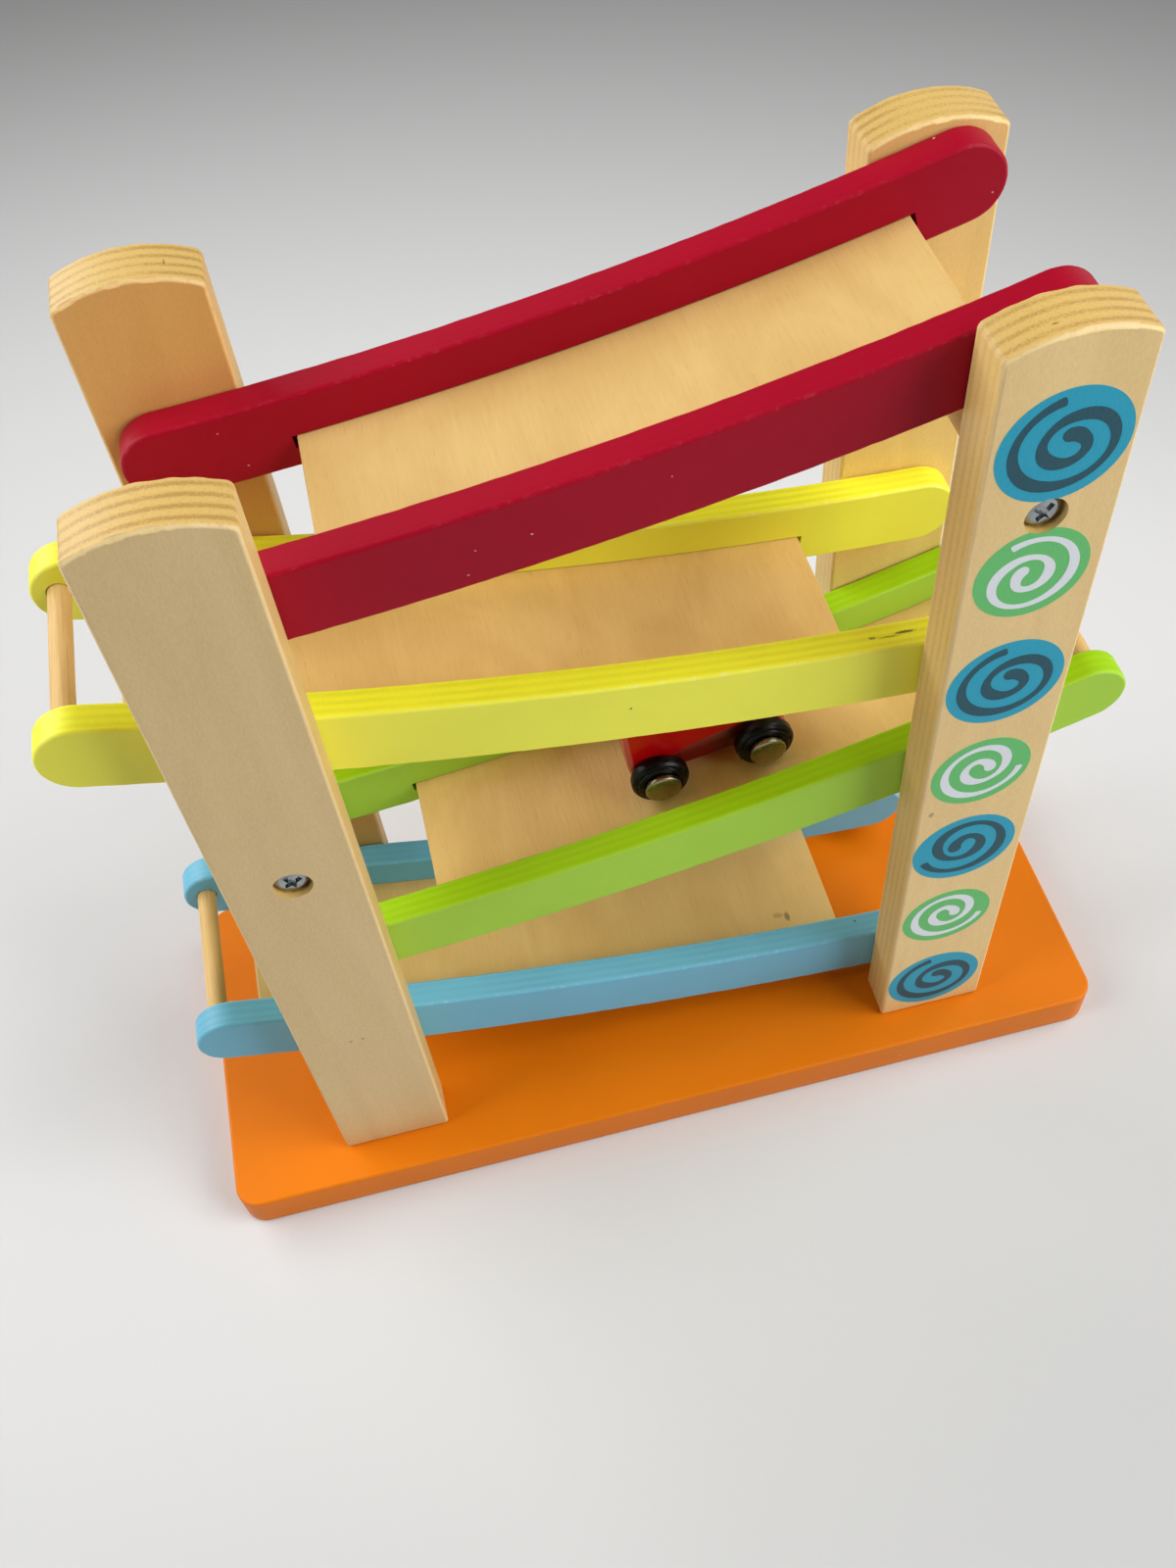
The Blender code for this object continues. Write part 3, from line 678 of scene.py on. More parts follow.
def cross_blades(top, span):
    """Tapered cutters of a cross recess whose mouth is at a height."""
    blades = []
    for turn in (0.0, math.pi / 2):
        form = new_form()
        made = bmesh.ops.create_cube(form, size=1.0)
        for vert in made["verts"]:
            low = vert.co.z < 0.0
            taper = RECESS_TAPER if low else 1.0 + (1.0 - RECESS_TAPER) / 2
            vert.co.x *= span * taper
            vert.co.y *= RECESS_WIDTH * (1.0 + taper) / 2
            vert.co.z = top - RECESS_DEPTH if low else top + RECESS_DEPTH / 2
        blades.append(placed(form, Matrix.Rotation(turn, 4, 'Z')))
    return blades


def placed(form, matrix):
    """Move a form to its place."""
    bmesh.ops.transform(form, matrix=matrix, verts=form.verts)
    return form


def link_form(name, form):
    """Make an object of a form."""
    mesh = bpy.data.meshes.new(name)
    form.to_mesh(mesh)
    form.free()
    piece = bpy.data.objects.new(name, mesh)
    bpy.context.scene.collection.objects.link(piece)
    return piece


def carve(piece, cutters):
    """Take the cutters' shapes out of a piece and remove the cutters."""
    tools = [link_form(f"{piece.name}_cutter", cutter) for cutter in cutters]
    for tool in tools:
        boolean = piece.modifiers.new(tool.name, 'BOOLEAN')
        boolean.operation = 'DIFFERENCE'
        boolean.solver = 'EXACT'
        boolean.object = tool
    bpy.context.view_layer.update()
    graph = bpy.context.evaluated_depsgraph_get()
    carved = bpy.data.meshes.new_from_object(piece.evaluated_get(graph))
    if not carved.polygons:
        raise RuntimeError(f"cutting {piece.name} left nothing")
    plain = piece.data
    piece.modifiers.clear()
    piece.data = carved
    bpy.data.meshes.remove(plain)
    for tool in tools:
        used = tool.data
        bpy.data.objects.remove(tool)
        bpy.data.meshes.remove(used)
    carved.name = piece.name


def add_piece(name, form, material, body, node=None, cutters=(), place=None):
    """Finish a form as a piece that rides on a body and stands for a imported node."""
    piece = link_form(name, form)
    if cutters:
        carve(piece, cutters)
    piece.data.shade_smooth()
    piece.data.set_sharp_from_angle(angle=SHARP_ANGLE)
    even = piece.modifiers.new("even_shading", 'WEIGHTED_NORMAL')
    even.keep_sharp = True
    piece.data.materials.clear()
    piece.data.materials.append(material)
    if place is not None:
        piece.matrix_world = place
    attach(piece, body)
    if node:
        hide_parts(node)


# Shader nodes


class Wire:
    """What a node puts out, which can be reckoned with like a number or a vector."""

    def __init__(self, bench, socket):
        self.bench = bench
        self.socket = socket

    def __add__(self, other):
        return self.bench.reckon('ADD', self, other)

    def __sub__(self, other):
        return self.bench.reckon('SUBTRACT', self, other)

    def __rsub__(self, other):
        return self.bench.reckon('SUBTRACT', other, self)

    def __mul__(self, other):
        return self.bench.reckon('MULTIPLY', self, other)

    def __truediv__(self, other):
        return self.bench.reckon('DIVIDE', self, other)

    def __abs__(self):
        return self.bench.reckon('ABSOLUTE', self)


class Bench:
    """Adds and links the nodes of one material or node group."""

    def __init__(self, tree):
        self.tree = tree

    def add(self, kind, inputs=None, **settings):
        """A node with its settings made and its inputs fed."""
        node = self.tree.nodes.new(kind)
        row, column = divmod(len(self.tree.nodes), NODES_IN_ROW)
        node.location = (column * NODE_STEP[0], -row * NODE_STEP[1])
        for key, value in settings.items():
            setattr(node, key, value)
        for key, value in (inputs or {}).items():
            self.feed(node.inputs[key], value)
        return node

    def feed(self, socket, value):
        """Link an input to another node, or set its own value."""
        if isinstance(value, Wire):
            self.tree.links.new(value.socket, socket)
        elif socket.type == 'RGBA':
            socket.default_value = (*value, 1.0)
        else:
            socket.default_value = value

    def out(self, label, kind, inputs=None, **settings):
        """One output of a new node."""
        return Wire(self, self.add(kind, inputs, **settings).outputs[label])

    def wires(self, node):
        """All that a node puts out, by name."""
        return {socket.name: Wire(self, socket) for socket in node.outputs}

    def reckon(self, operation, *values, clamp=False):
        """One step of arithmetic with numbers, or with vectors where one is among the values."""
        inputs = dict(enumerate(values))
        if any(isinstance(value, Wire) and value.socket.type == 'VECTOR' for value in values):
            return self.out(0, 'ShaderNodeVectorMath', inputs, operation=operation)
        return self.out(0, 'ShaderNodeMath', inputs, operation=operation, use_clamp=clamp)

    def length(self, value):
        """Length of a vector."""
        return self.out("Value", 'ShaderNodeVectorMath', {0: value}, operation='LENGTH')

    def fade(self, value, low, high, start=0.0, end=1.0):
        """A smooth step between two values."""
        inputs = {"Value": value, "From Min": low, "From Max": high, "To Min": start, "To Max": end}
        return self.out("Result", 'ShaderNodeMapRange', inputs, interpolation_type='SMOOTHSTEP')

    def noise(self, place, scale=1.0, detail=3.0, roughness=0.5, distortion=0.0):
        """Noise between 0 and 1 at a place."""
        inputs = {"Vector": place, "Scale": scale, "Detail": detail, "Roughness": roughness,
                  "Distortion": distortion}
        return self.out("Fac", 'ShaderNodeTexNoise', inputs)

    def mix(self, share, first, second):
        """A blend of two colours."""
        inputs = dict(zip(MIX_INPUTS, (share, first, second)))
        return self.out(MIX_OUTPUT, 'ShaderNodeMix', inputs, data_type='RGBA')

    def mix_shader(self, share, first, second):
        """A blend of two shaders, given as their nodes."""
        node = self.add('ShaderNodeMixShader', {0: share})
        for socket, shader in zip(node.inputs[1:], (first, second)):
            self.tree.links.new(shader.outputs[0], socket)
        return Wire(self, node.outputs[0])

    def split(self, value):
        """The three parts of a vector."""
        node = self.add('ShaderNodeSeparateXYZ', {0: value})
        return [Wire(self, socket) for socket in node.outputs]

    def bump(self, height, strength, distance=RELIEF):
        """A normal that follows a height."""
        inputs = {"Strength": strength, "Distance": distance, "Height": height}
        return self.out("Normal", 'ShaderNodeBump', inputs)


def shared_group(**inputs):
    """Turn a function that fills a node group into one that puts it on a bench. Inputs are listed by kind."""
    def share(fill):
        def build():
            tree = bpy.data.node_groups.new(fill.__name__, 'ShaderNodeTree')
            for kind, labels in inputs.items():
                for label in labels.split():
                    tree.interface.new_socket(name=label, in_out='INPUT', socket_type=SOCKET_KINDS[kind])
            inside = Bench(tree)
            results = fill(inside, inside.wires(inside.add('NodeGroupInput')))
            for label, wire in results.items():
                kind = SOCKET_KINDS[wire.socket.type]
                tree.interface.new_socket(name=label, in_out='OUTPUT', socket_type=kind)
            inside.add('NodeGroupOutput', results)
            return tree

        def put(bench, **values):
            tree = bpy.data.node_groups.get(fill.__name__) or build()
            return bench.wires(bench.add('ShaderNodeGroup', values, node_tree=tree))
        return put
    return share


@shared_group(VECTOR="Place Fibre Figure")
def wood_fibre(bench, source):
    """Grain of wood: streaks along the fibre, slow figure and fine pores."""
    along = source["Place"] * source["Fibre"]
    slow = source["Place"] * source["Figure"]
    fine = along * (PORES_PER_STREAK, PORES_PER_STREAK, PORES_PER_STREAK)
    return {
        "Streak": bench.fade(bench.noise(along, detail=5.0, roughness=0.62, distortion=0.2), 0.30, 0.70),
        "Cloud": bench.fade(bench.noise(slow, distortion=0.9), 0.30, 0.70),
        "Pore": bench.fade(bench.noise(fine, detail=2.0), 0.62, 0.74),
    }


@shared_group(VECTOR="Place", VALUE="Depth Layer")
def ply_layers(bench, source):
    """Layers on the edge of plywood: soft dark bands that come and go, and their glue lines."""
    wander = (bench.noise(source["Place"], scale=130.0, detail=2.0) - 0.5) * 0.32
    turns = source["Depth"] / source["Layer"] + wander
    wave = bench.reckon('SINE', turns * math.pi)
    near = bench.reckon('PINGPONG', turns, 0.5)
    clear = bench.fade(bench.noise(source["Place"], scale=42.0, detail=2.0), 0.30, 0.70, 0.35, 1.0)
    return {
        "Band": bench.fade(wave, -0.9, 0.1, 1.0, 0.0) * clear,
        "Glue": bench.fade(near, 0.0, 0.10, 1.0, 0.0) * clear,
    }


@shared_group(VECTOR="Place", VALUE="Edge Amount")
def edge_wear(bench, source):
    """Patches along the rounded edges where the finish is rubbed thin."""
    patch = bench.noise(source["Place"], scale=520.0, detail=4.0, roughness=0.65)
    return {"Worn": bench.fade(patch + source["Amount"], 0.92, 1.12) * source["Edge"]}


@shared_group(VECTOR="Place", VALUE="Scale Rare Size")
def dust_specks(bench, source):
    """Small pale specks scattered over a finish."""
    inputs = {"Vector": source["Place"], "Scale": source["Scale"]}
    cell = bench.wires(bench.add('ShaderNodeTexVoronoi', inputs))
    picked = bench.reckon('GREATER_THAN', bench.split(cell["Color"])[0], source["Rare"])
    return {"Speck": bench.fade(picked * source["Size"] - cell["Distance"], 0.0, 0.02)}


@shared_group(VECTOR="Place Spot Size")
def small_mark(bench, source):
    """One small mark with an uneven edge."""
    away = bench.length((source["Place"] - source["Spot"]) / source["Size"])
    ragged = (bench.noise(source["Place"], scale=1700.0, detail=2.0) - 0.5) * 1.1
    return {"Mark": bench.fade(away + ragged, 0.45, 1.0, 1.0, 0.0)}


@shared_group(VECTOR="Place", RGBA="Paint", VALUE="Line Edge Worn Speck")
def paint_film(bench, source):
    """Satin paint over wood: drifting tone, sawn edges, layers that show through and rubbed edges."""
    drift = bench.noise(source["Place"], scale=22.0)
    tooth = bench.noise(source["Place"], scale=2400.0, detail=2.0)
    sawn = bench.noise(source["Place"] * (2200.0, 900.0, 2200.0), roughness=0.6)
    saw = bench.fade(sawn, 0.35, 0.75, 0.0, 0.06) * source["Edge"]
    colour = bench.mix(bench.fade(drift, 0.25, 0.75, 0.0, 0.07), source["Paint"], BLACK)
    for share, stain in (
        (saw, SAWN_DARK),
        (source["Line"], SAWN_DARK),
        (source["Worn"], bench.mix(0.5, source["Paint"], BARE_WOOD)),
        (source["Speck"], DUST),
    ):
        colour = bench.mix(share, colour, stain)
    return {
        "Colour": colour,
        "Roughness": bench.fade(tooth, 0.2, 0.8, 0.38, 0.54),
        "Height": tooth * 0.35 - (source["Line"] + saw) * 2.0,
    }


@shared_group(VECTOR="Place", RGBA="Metal", VALUE="Polish")
def metal_plate(bench, source):
    """Plated metal: a drifting tone, faint rub marks and uneven polish."""
    cloud = bench.noise(source["Place"], scale=420.0)
    rub = bench.noise(source["Place"] * (900.0, 3200.0, 900.0))
    return {
        "Colour": bench.mix(bench.fade(cloud, 0.3, 0.7, 0.0, 0.35), source["Metal"], TARNISH),
        "Roughness": source["Polish"] + bench.fade(rub, 0.3, 0.7, 0.0, 0.10),
        "Height": rub,
    }


# Finishes


def finish(fill):
    """Turn a function that gives a shader's inputs into one that makes a material when first asked for it."""
    def make(name, *values, **settings):
        material = bpy.data.materials.get(name)
        if material is None:
            material = bpy.data.materials.new(name)
            material.use_nodes = True
            bench = Bench(material.node_tree)
            where = bench.wires(bench.add('ShaderNodeTexCoord'))
            inputs = fill(bench, where, *values, **settings)
            inputs["Base Color"] = marked(bench, name, where["Object"], inputs["Base Color"])
            for label, value in inputs.items():
                bench.feed(material.node_tree.nodes["Principled BSDF"].inputs[label], value)
        return material
    return make


def worn_mask(bench, place, amount):
    """Wear along the rounded edges of a piece."""
    edge = bench.out("Fac", 'ShaderNodeAttribute', attribute_name=WORN_EDGE)
    return edge_wear(bench, Place=place, Edge=edge, Amount=amount)["Worn"]


def marked(bench, name, place, base):
    """A piece's colour with its small dark and pale marks."""
    for marks, stain in ((DARK_MARKS, DIRT), (PALE_MARKS, CHIP)):
        for mark in marks.get(name, ()):
            patch = small_mark(bench, Place=place, Spot=mark.place, Size=mark.size)["Mark"]
            base = bench.mix(patch * mark.show, base, stain)
    return base


def wood_grain(bench, place, wood):
    """The streaks, clouds and pores of a wood."""
    return wood_fibre(bench, Place=place, Fibre=wood.fibre, Figure=wood.figure)


def grained(bench, place, wood, face, deep):
    """The streaks of a wood, and its colour with streaks, clouds and pores."""
    grain = wood_grain(bench, place, wood)
    veneer = bench.mix(grain["Streak"] * wood.streak + grain["Cloud"] * wood.cloud, face, deep)
    return grain["Streak"], bench.mix(grain["Pore"] * wood.pore, veneer, wood.pore_tone)


@finish
def painted_ply(bench, where, paint, axis, face, layer, coat):
    """Paint on plywood, with the layers and saw marks showing on its edges and a painted sheen on its faces.
    """
    place, normal = where["Object"], where["Normal"]
    depth = abs(bench.split(place)[axis]) - face
    layers = ply_layers(bench, Place=place, Depth=depth, Layer=layer)
    on_edge = bench.fade(abs(bench.split(normal)[axis]), 0.35, 0.75, 1.0, 0.0)
    bands = bench.reckon('ADD', layers["Band"] * 0.75, layers["Glue"] * 0.6, clamp=True)
    # Painted sheen: the faces are paled towards white to stand for the sheen of light on them
    bloom = Vector(paint).lerp(WHITE, coat.bloom)
    speck = dust_specks(bench, Place=place, Scale=150.0, Rare=0.965, Size=0.05)["Speck"]
    film = paint_film(
        bench,
        Place=place,
        Paint=bench.mix(on_edge, bloom, paint),
        Line=bands * on_edge * coat.show,
        Edge=on_edge * (SAW_SHOW * coat.show),
        Worn=worn_mask(bench, place, amount=0.40) * coat.wear,
        Speck=speck * 0.6,
    )
    return {
        "Base Color": film["Colour"],
        "Roughness": film["Roughness"],
        "Specular IOR Level": coat.shine,
        "Normal": bench.bump(film["Height"], strength=0.25),
    }


@finish
def bare_ply(bench, where, face, colours, layer):
    """Clear-coated plywood standing on end, with its layers on the edges."""
    place, normal = where["Object"], where["Normal"]
    deep = [part * share for part, share in zip(face, POST_DEEP_SHARE)]
    place_y, place_z = bench.split(place)[1:]
    normal_y, normal_z = map(abs, bench.split(normal)[1:])
    streak, veneer = grained(bench, place, POST_WOOD, face, deep)
    layers = ply_layers(bench, Place=place, Depth=abs(place_y) - POST_LOW.y, Layer=layer)
    upward = bench.fade(normal_z, 0.0, 1.0, 0.75, 0.90)
    fuzz = bench.fade(bench.noise(place, scale=1900.0, roughness=0.6), 0.3, 0.7, -0.34, 0.34)
    band = bench.reckon('ADD', layers["Band"], fuzz, clamp=True)
    banded = bench.mix(band * upward, colours.ply_light, colours.ply_dark)
    glued = bench.mix(layers["Glue"] * upward * 0.28, banded, GLUE)
    on_edge = bench.fade(normal_y, 0.45, 0.85, 1.0, 0.0)
    sanded = bench.mix(bench.fade(normal_z, 0.2, 0.7, 0.4, 0.0), glued, veneer)
    wood = bench.mix(on_edge, veneer, sanded)
    crown = bench.fade(place_z, POST_HIGH.z - CROWN_FROM, POST_HIGH.z - CROWN_FULL, 0.2, 0.32)
    rubbed = bench.mix(worn_mask(bench, place, amount=0.62) * crown, wood, colours.ply_rubbed)
    return {
        "Base Color": rubbed,
        "Roughness": bench.fade(streak, 0.0, 1.0, 0.42, 0.58),
        "Normal": bench.bump(streak * -0.3 + band * on_edge * -0.8, strength=0.3),
    }


@finish
def deck_veneer(bench, where, colours, tone, track):
    """Bent clear-coated veneer with its grain across the ramp, three layers on its ends and a tone of painted
    light.
    """
    place, normal = where["Object"], where["Normal"]
    # The tone is painted light and shade: it makes the deck paler or darker for the light that falls on it
    face = Vector(colours.deck_face) * tone
    deep = Vector(colours.deck_deep) * tone
    streak, veneer = grained(bench, place, DECK_WOOD, face, deep)
    offset = (place - (track.centre.x, 0.0, track.centre.y)) * (1.0, 0.0, 1.0)
    depth = bench.length(offset) - track.deck_top
    layers = ply_layers(bench, Place=place, Depth=depth, Layer=DECK_LAYER)
    banded = bench.mix(layers["Band"], colours.ply_light, colours.ply_dark)
    wood = bench.mix(bench.fade(abs(bench.split(normal)[0]), 0.5, 0.8), veneer, banded)
    return {
        "Base Color": wood,
        "Roughness": bench.fade(streak, 0.0, 1.0, 0.42, 0.56),
        "Normal": bench.bump(streak, strength=0.2),
    }


@finish
def dowel_wood(bench, where, colours):
    """Round bar of pale wood with its grain along y."""
    place = where["Object"]
    streak, bar = grained(bench, place, DOWEL_WOOD, colours.dowel_face, colours.dowel_deep)
    return {
        "Base Color": bench.mix(worn_mask(bench, place, amount=0.45) * 0.2, bar, DOWEL_RUBBED),
        "Roughness": bench.fade(streak, 0.0, 1.0, 0.42, 0.58),
        "Specular IOR Level": 0.2,
        "Normal": bench.bump(streak, strength=0.25),
    }


@finish
def print_ink(bench, where, ink):
    """Ink printed on the post, with the wood's grain showing through."""
    streak = wood_grain(bench, where["Object"], POST_WOOD)["Streak"]
    return {
        "Base Color": bench.mix(streak * 0.06, ink, INK_THIN),
        "Roughness": bench.fade(streak, 0.0, 1.0, 0.44, 0.56),
        "Specular IOR Level": 0.2,
        "Normal": bench.bump(streak, strength=0.2),
    }


@finish
def gloss_paint(bench, where, paint, half_width):
    """Glossy car paint with a faint orange-peel skin, painted shade in its pockets and rubbed edges that also
    carry a painted highlight.
    """
    place, normal = where["Object"], where["Normal"]
    peel = bench.noise(place, scale=900.0, detail=2.0)
    drift = bench.noise(place, scale=60.0)
    tone = bench.mix(bench.fade(drift, 0.25, 0.75, 0.0, 0.1), paint, CAR_DEEP)
    # Painted shade: the sideways faces set into the pockets are darkened for the shade under the body's
    # overhang
    inward = half_width - abs(bench.split(place)[1])
    sideways = abs(bench.split(normal)[1])
    pocket_shade = bench.fade(inward, *POCKET_SHADE_STEP) * bench.fade(sideways, 0.6, 0.9)
    shaded_pockets = bench.mix(pocket_shade * 0.65, tone, CAR_POCKET_SHADE)
    return {
        # The rubbed edges are partly wear and partly a painted highlight along the body's rounded edges
        "Base Color": bench.mix(worn_mask(bench, place, amount=0.75) * 0.42, shaded_pockets, CAR_WEAR_AND_HIGHLIGHT),
        "Roughness": bench.fade(peel, 0.3, 0.7, 0.20, 0.24),
        "Specular IOR Level": 0.3,
        "Coat Weight": 0.15,
        "Coat Roughness": 0.12,
        "Normal": bench.bump(peel, strength=0.02),
    }


@finish
def turned_black(bench, where, black):
    """Black wheel with faint turning lines, handled patches and a soft shine."""
    place = where["Object"]
    lines = bench.reckon('SINE', bench.length(place * (1.0, 1.0, 0.0)) * (math.tau / TURNING_PITCH))
    cloud = bench.noise(place, scale=380.0)
    return {
        "Base Color": bench.mix(bench.fade(cloud, 0.45, 0.8, 0.0, 0.03), black, HANDLED),
        "Roughness": bench.fade(cloud, 0.3, 0.7, 0.26, 0.34),
        "Specular IOR Level": 0.2,
        "Normal": bench.bump(lines, strength=0.05, distance=FINE_RELIEF),
    }


@finish
def plated(bench, where, metal, polish):
    """Plated metal."""
    plate = metal_plate(bench, Place=where["Object"], Metal=metal, Polish=polish)
    return {
        "Base Color": plate["Colour"],
        "Roughness": plate["Roughness"],
        "Metallic": 1.0,
        "Normal": bench.bump(plate["Height"], strength=0.04, distance=FINE_RELIEF),
    }


def seen_ray(bench):
    """One for a ray that sees or mirrors a surface, nought for a ray that gathers its light."""
    rays = bench.wires(bench.add('ShaderNodeLightPath'))
    mirrored = bench.reckon('MAXIMUM', rays["Is Glossy Ray"], rays["Is Transmission Ray"])
    return bench.reckon('MAXIMUM', rays["Is Camera Ray"], mirrored)


@finish
def floor_paper(bench, where, stage):
    """Pale paper with painted shade in front of the toy and behind it, that runs into the pale room further
    off.
    """
    place = where["Object"]
    behind = bench.split(place)[1]
    # Painted shade: the paper is darker in front of the toy and much darker far behind it
    near = bench.mix(bench.fade(behind, *FRONT_STEP), stage.floor_front, stage.floor_near)
    spread = bench.fade(bench.length(place - SHADE_FROM), *SHADE_STEP)
    painted_shade = spread * bench.fade(behind, *BEHIND_STEP)
    paper = bench.mix(painted_shade, near, stage.floor_far)
    tooth = bench.noise(place, scale=900.0)
    beyond = bench.fade(bench.length(place - RUN_OUT_FROM), *RUN_OUT_STEP)
    nodes = bench.tree.nodes
    room = bench.add('ShaderNodeEmission', {"Color": stage.room_colour})
    both = bench.mix_shader(beyond * seen_ray(bench), nodes["Principled BSDF"], room)
    bench.feed(nodes["Material Output"].inputs["Surface"], both)
    return {
        "Base Color": bench.mix(bench.fade(tooth, 0.3, 0.7, 0.0, 0.03), paper, PAPER_GREY),
        "Roughness": 0.8,
        "Specular IOR Level": 0.15,
        "Normal": bench.bump(tooth, strength=0.05),
    }


# Shared places


def crossbar_screws():
    """The crossbar screws: node, side, end, middle as x and z, and the direction each faces."""
    screws = []
    for side, facing in SIDES:
        for end, _ in ENDS:
            node = f"crossbar_screw_{side}_{end}"
            low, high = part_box(node)
            middle = Vector(((low.x + high.x) / 2, (low.z + high.z) / 2))
            screws.append(CrossbarScrew(node, side, end, middle, facing))
    return screws


def base_screws():
    """The base screws: node, side, end and the matrix of the head, facing down."""
    screws = []
    for side, _ in SIDES:
        for end, _ in ENDS:
            for label in ("a", "b"):
                node = f"base_screw_{side}_{end}_{label}"
                low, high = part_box(node)
                head = Matrix.Translation(((low.x + high.x) / 2, (low.y + high.y) / 2, low.z))
                screws.append(BaseScrew(node, side, end, head @ Matrix.Rotation(math.pi, 4, 'X')))
    return screws


def base_screw_hole(screw):
    """Cutter of a base screw's hole through the base board and up into its post."""
    return placed(turned(FLAT_HOLE_SECTION, ROD_SIDES), screw.head)


def counterbore(sizes, screw):
    """Cutter of a crossbar screw's counterbore in a post."""
    seat = POST_HIGH.y - sizes.bore_depth - SEAT_GAP
    return rod(screw.middle, sizes.bore_radius, screw.facing * seat, screw.facing * (POST_HIGH.y + CUT_PAST))


def pilot_hole(sizes, screw):
    """Cutter of a crossbar screw's hole through the rest of a post."""
    seat = POST_HIGH.y - sizes.bore_depth - SEAT_GAP
    return rod(screw.middle, PILOT_RADIUS, screw.facing * (POST_LOW.y - CUT_PAST),
               screw.facing * (seat + CUT_PAST))


def car_place():
    """Matrix of the car: x up the ramp, y across it and z off its deck."""
    low = Vector(JOINTS["front_low_wheel_spin"]["pos_m"])
    high = Vector(JOINTS["front_high_wheel_spin"]["pos_m"])
    along = (high - low).normalized()
    up = Vector((-along.z, 0.0, along.x))
    middle = (low + high) / 2
    middle.y = JOINTS["car_roll"]["pos_m"][1]
    place = Matrix((along, (0.0, 1.0, 0.0), up)).transposed().to_4x4()
    place.translation = middle - up * AXLE_HEIGHT
    return place


def facing_turn(facing):
    """Turn of a piece made along z so that its top faces the front or the rear."""
    return Matrix.Rotation(-facing * math.pi / 2, 4, 'X')


# Operators


class RACER_OT_stage(bpy.types.Operator):
    """Lay the floor, hang the lamps and set the camera"""

    bl_idname = "racer.stage"
    bl_label = "Stage"

    def execute(self, context):
        scene = context.scene
        scene.view_settings.view_transform = 'Standard'
        self.lay_floor(scene.racer_stage)
        self.light_room(scene)
        for name in ("key", "right", "back", "left"):
            self.hang_lamp(name, scene)
        self.set_camera(scene)
        return {'FINISHED'}

    def lay_floor(self, stage):
        """A wide sheet of paper just under the base."""
        form = new_form()
        bmesh.ops.create_grid(form, x_segments=1, y_segments=1, size=FLOOR_HALF)
        floor = link_form("floor", placed(form, Matrix.Translation((0.0, 0.0, -FLOOR_DROP))))
        floor.data.materials.append(floor_paper("floor_paper", stage))

    def light_room(self, scene):
        """Even light from all round, and a room with pale walls that is seen and mirrored."""
        stage = scene.racer_stage
        world = bpy.data.worlds.new("room")
        world.use_nodes = True
        bench = Bench(world.node_tree)
        even = world.node_tree.nodes["Background"]
        bench.feed(even.inputs["Color"], WHITE)
        bench.feed(even.inputs["Strength"], stage.room_light)
        height = bench.split(bench.out("Generated", 'ShaderNodeTexCoord'))[2]
        room = bench.mix(bench.fade(height, *CEILING_STEP), stage.room_colour, stage.ceiling_colour)
        seen = bench.add('ShaderNodeBackground', {"Color": room})
        both = bench.mix_shader(seen_ray(bench), even, seen)
        bench.feed(world.node_tree.nodes["World Output"].inputs["Surface"], both)
        scene.world = world

    def hang_lamp(self, name, scene):
        """A large soft lamp aimed at the toy."""
        stage = scene.racer_stage
        lamp = bpy.data.lights.new(f"{name}_lamp", 'AREA')
        lamp.shape = 'SQUARE'
        lamp.size = getattr(stage, f"{name}_size")
        lamp.energy = getattr(stage, f"{name}_power")
        hung = bpy.data.objects.new(lamp.name, lamp)
        scene.collection.objects.link(hung)
        hung.visible_camera = False
        hung.location = getattr(stage, f"{name}_place")
        down = Vector(stage.camera_aim) - hung.location
        hung.rotation_euler = down.to_track_quat('-Z', 'Y').to_euler()

    def set_camera(self, scene):
        """The photograph's viewpoint."""
        stage = scene.racer_stage
        lens = bpy.data.cameras.new("camera")
        lens.lens = stage.camera_lens
        lens.sensor_width = stage.sensor_width
        lens.sensor_fit = 'HORIZONTAL'
        lens.clip_start = NEAREST_SEEN
        camera = bpy.data.objects.new("camera", lens)
        scene.collection.objects.link(camera)
        place = Vector(stage.camera_place)
        ahead = (Vector(stage.camera_aim) - place).normalized()
        level = ahead.cross(Vector((0.0, 0.0, 1.0))).normalized()
        level_down = ahead.cross(level)
        right = level * math.cos(stage.camera_roll) + level_down * math.sin(stage.camera_roll)
        matrix = Matrix((right, right.cross(ahead), -ahead)).transposed().to_4x4()
        matrix.translation = place
        camera.matrix_world = matrix
        scene.camera = camera


class RACER_OT_base_board(bpy.types.Operator):
    """Shape the orange base board with the screw holes in its underside"""

    bl_idname = "racer.base_board"
    bl_label = "Base board"

    def execute(self, context):
        sizes = context.scene.racer_sizes
        outline = rounded_rectangle(BASE_LOW, BASE_HIGH, sizes.base_corner)
        form = ease(board(outline, BASE_LOW.z, BASE_HIGH.z, lying=True), sizes.edge_ease)
        holes = [base_screw_hole(screw) for screw in base_screws()]
        paint = painted_ply("orange_ply", context.scene.racer_colours.orange_paint, axis=2, face=0.0,
                            layer=sizes.rail_ply, coat=COATS["orange"])
        add_piece("base_board_ply", form, paint, "frame", "base_board", holes)
        return {'FINISHED'}


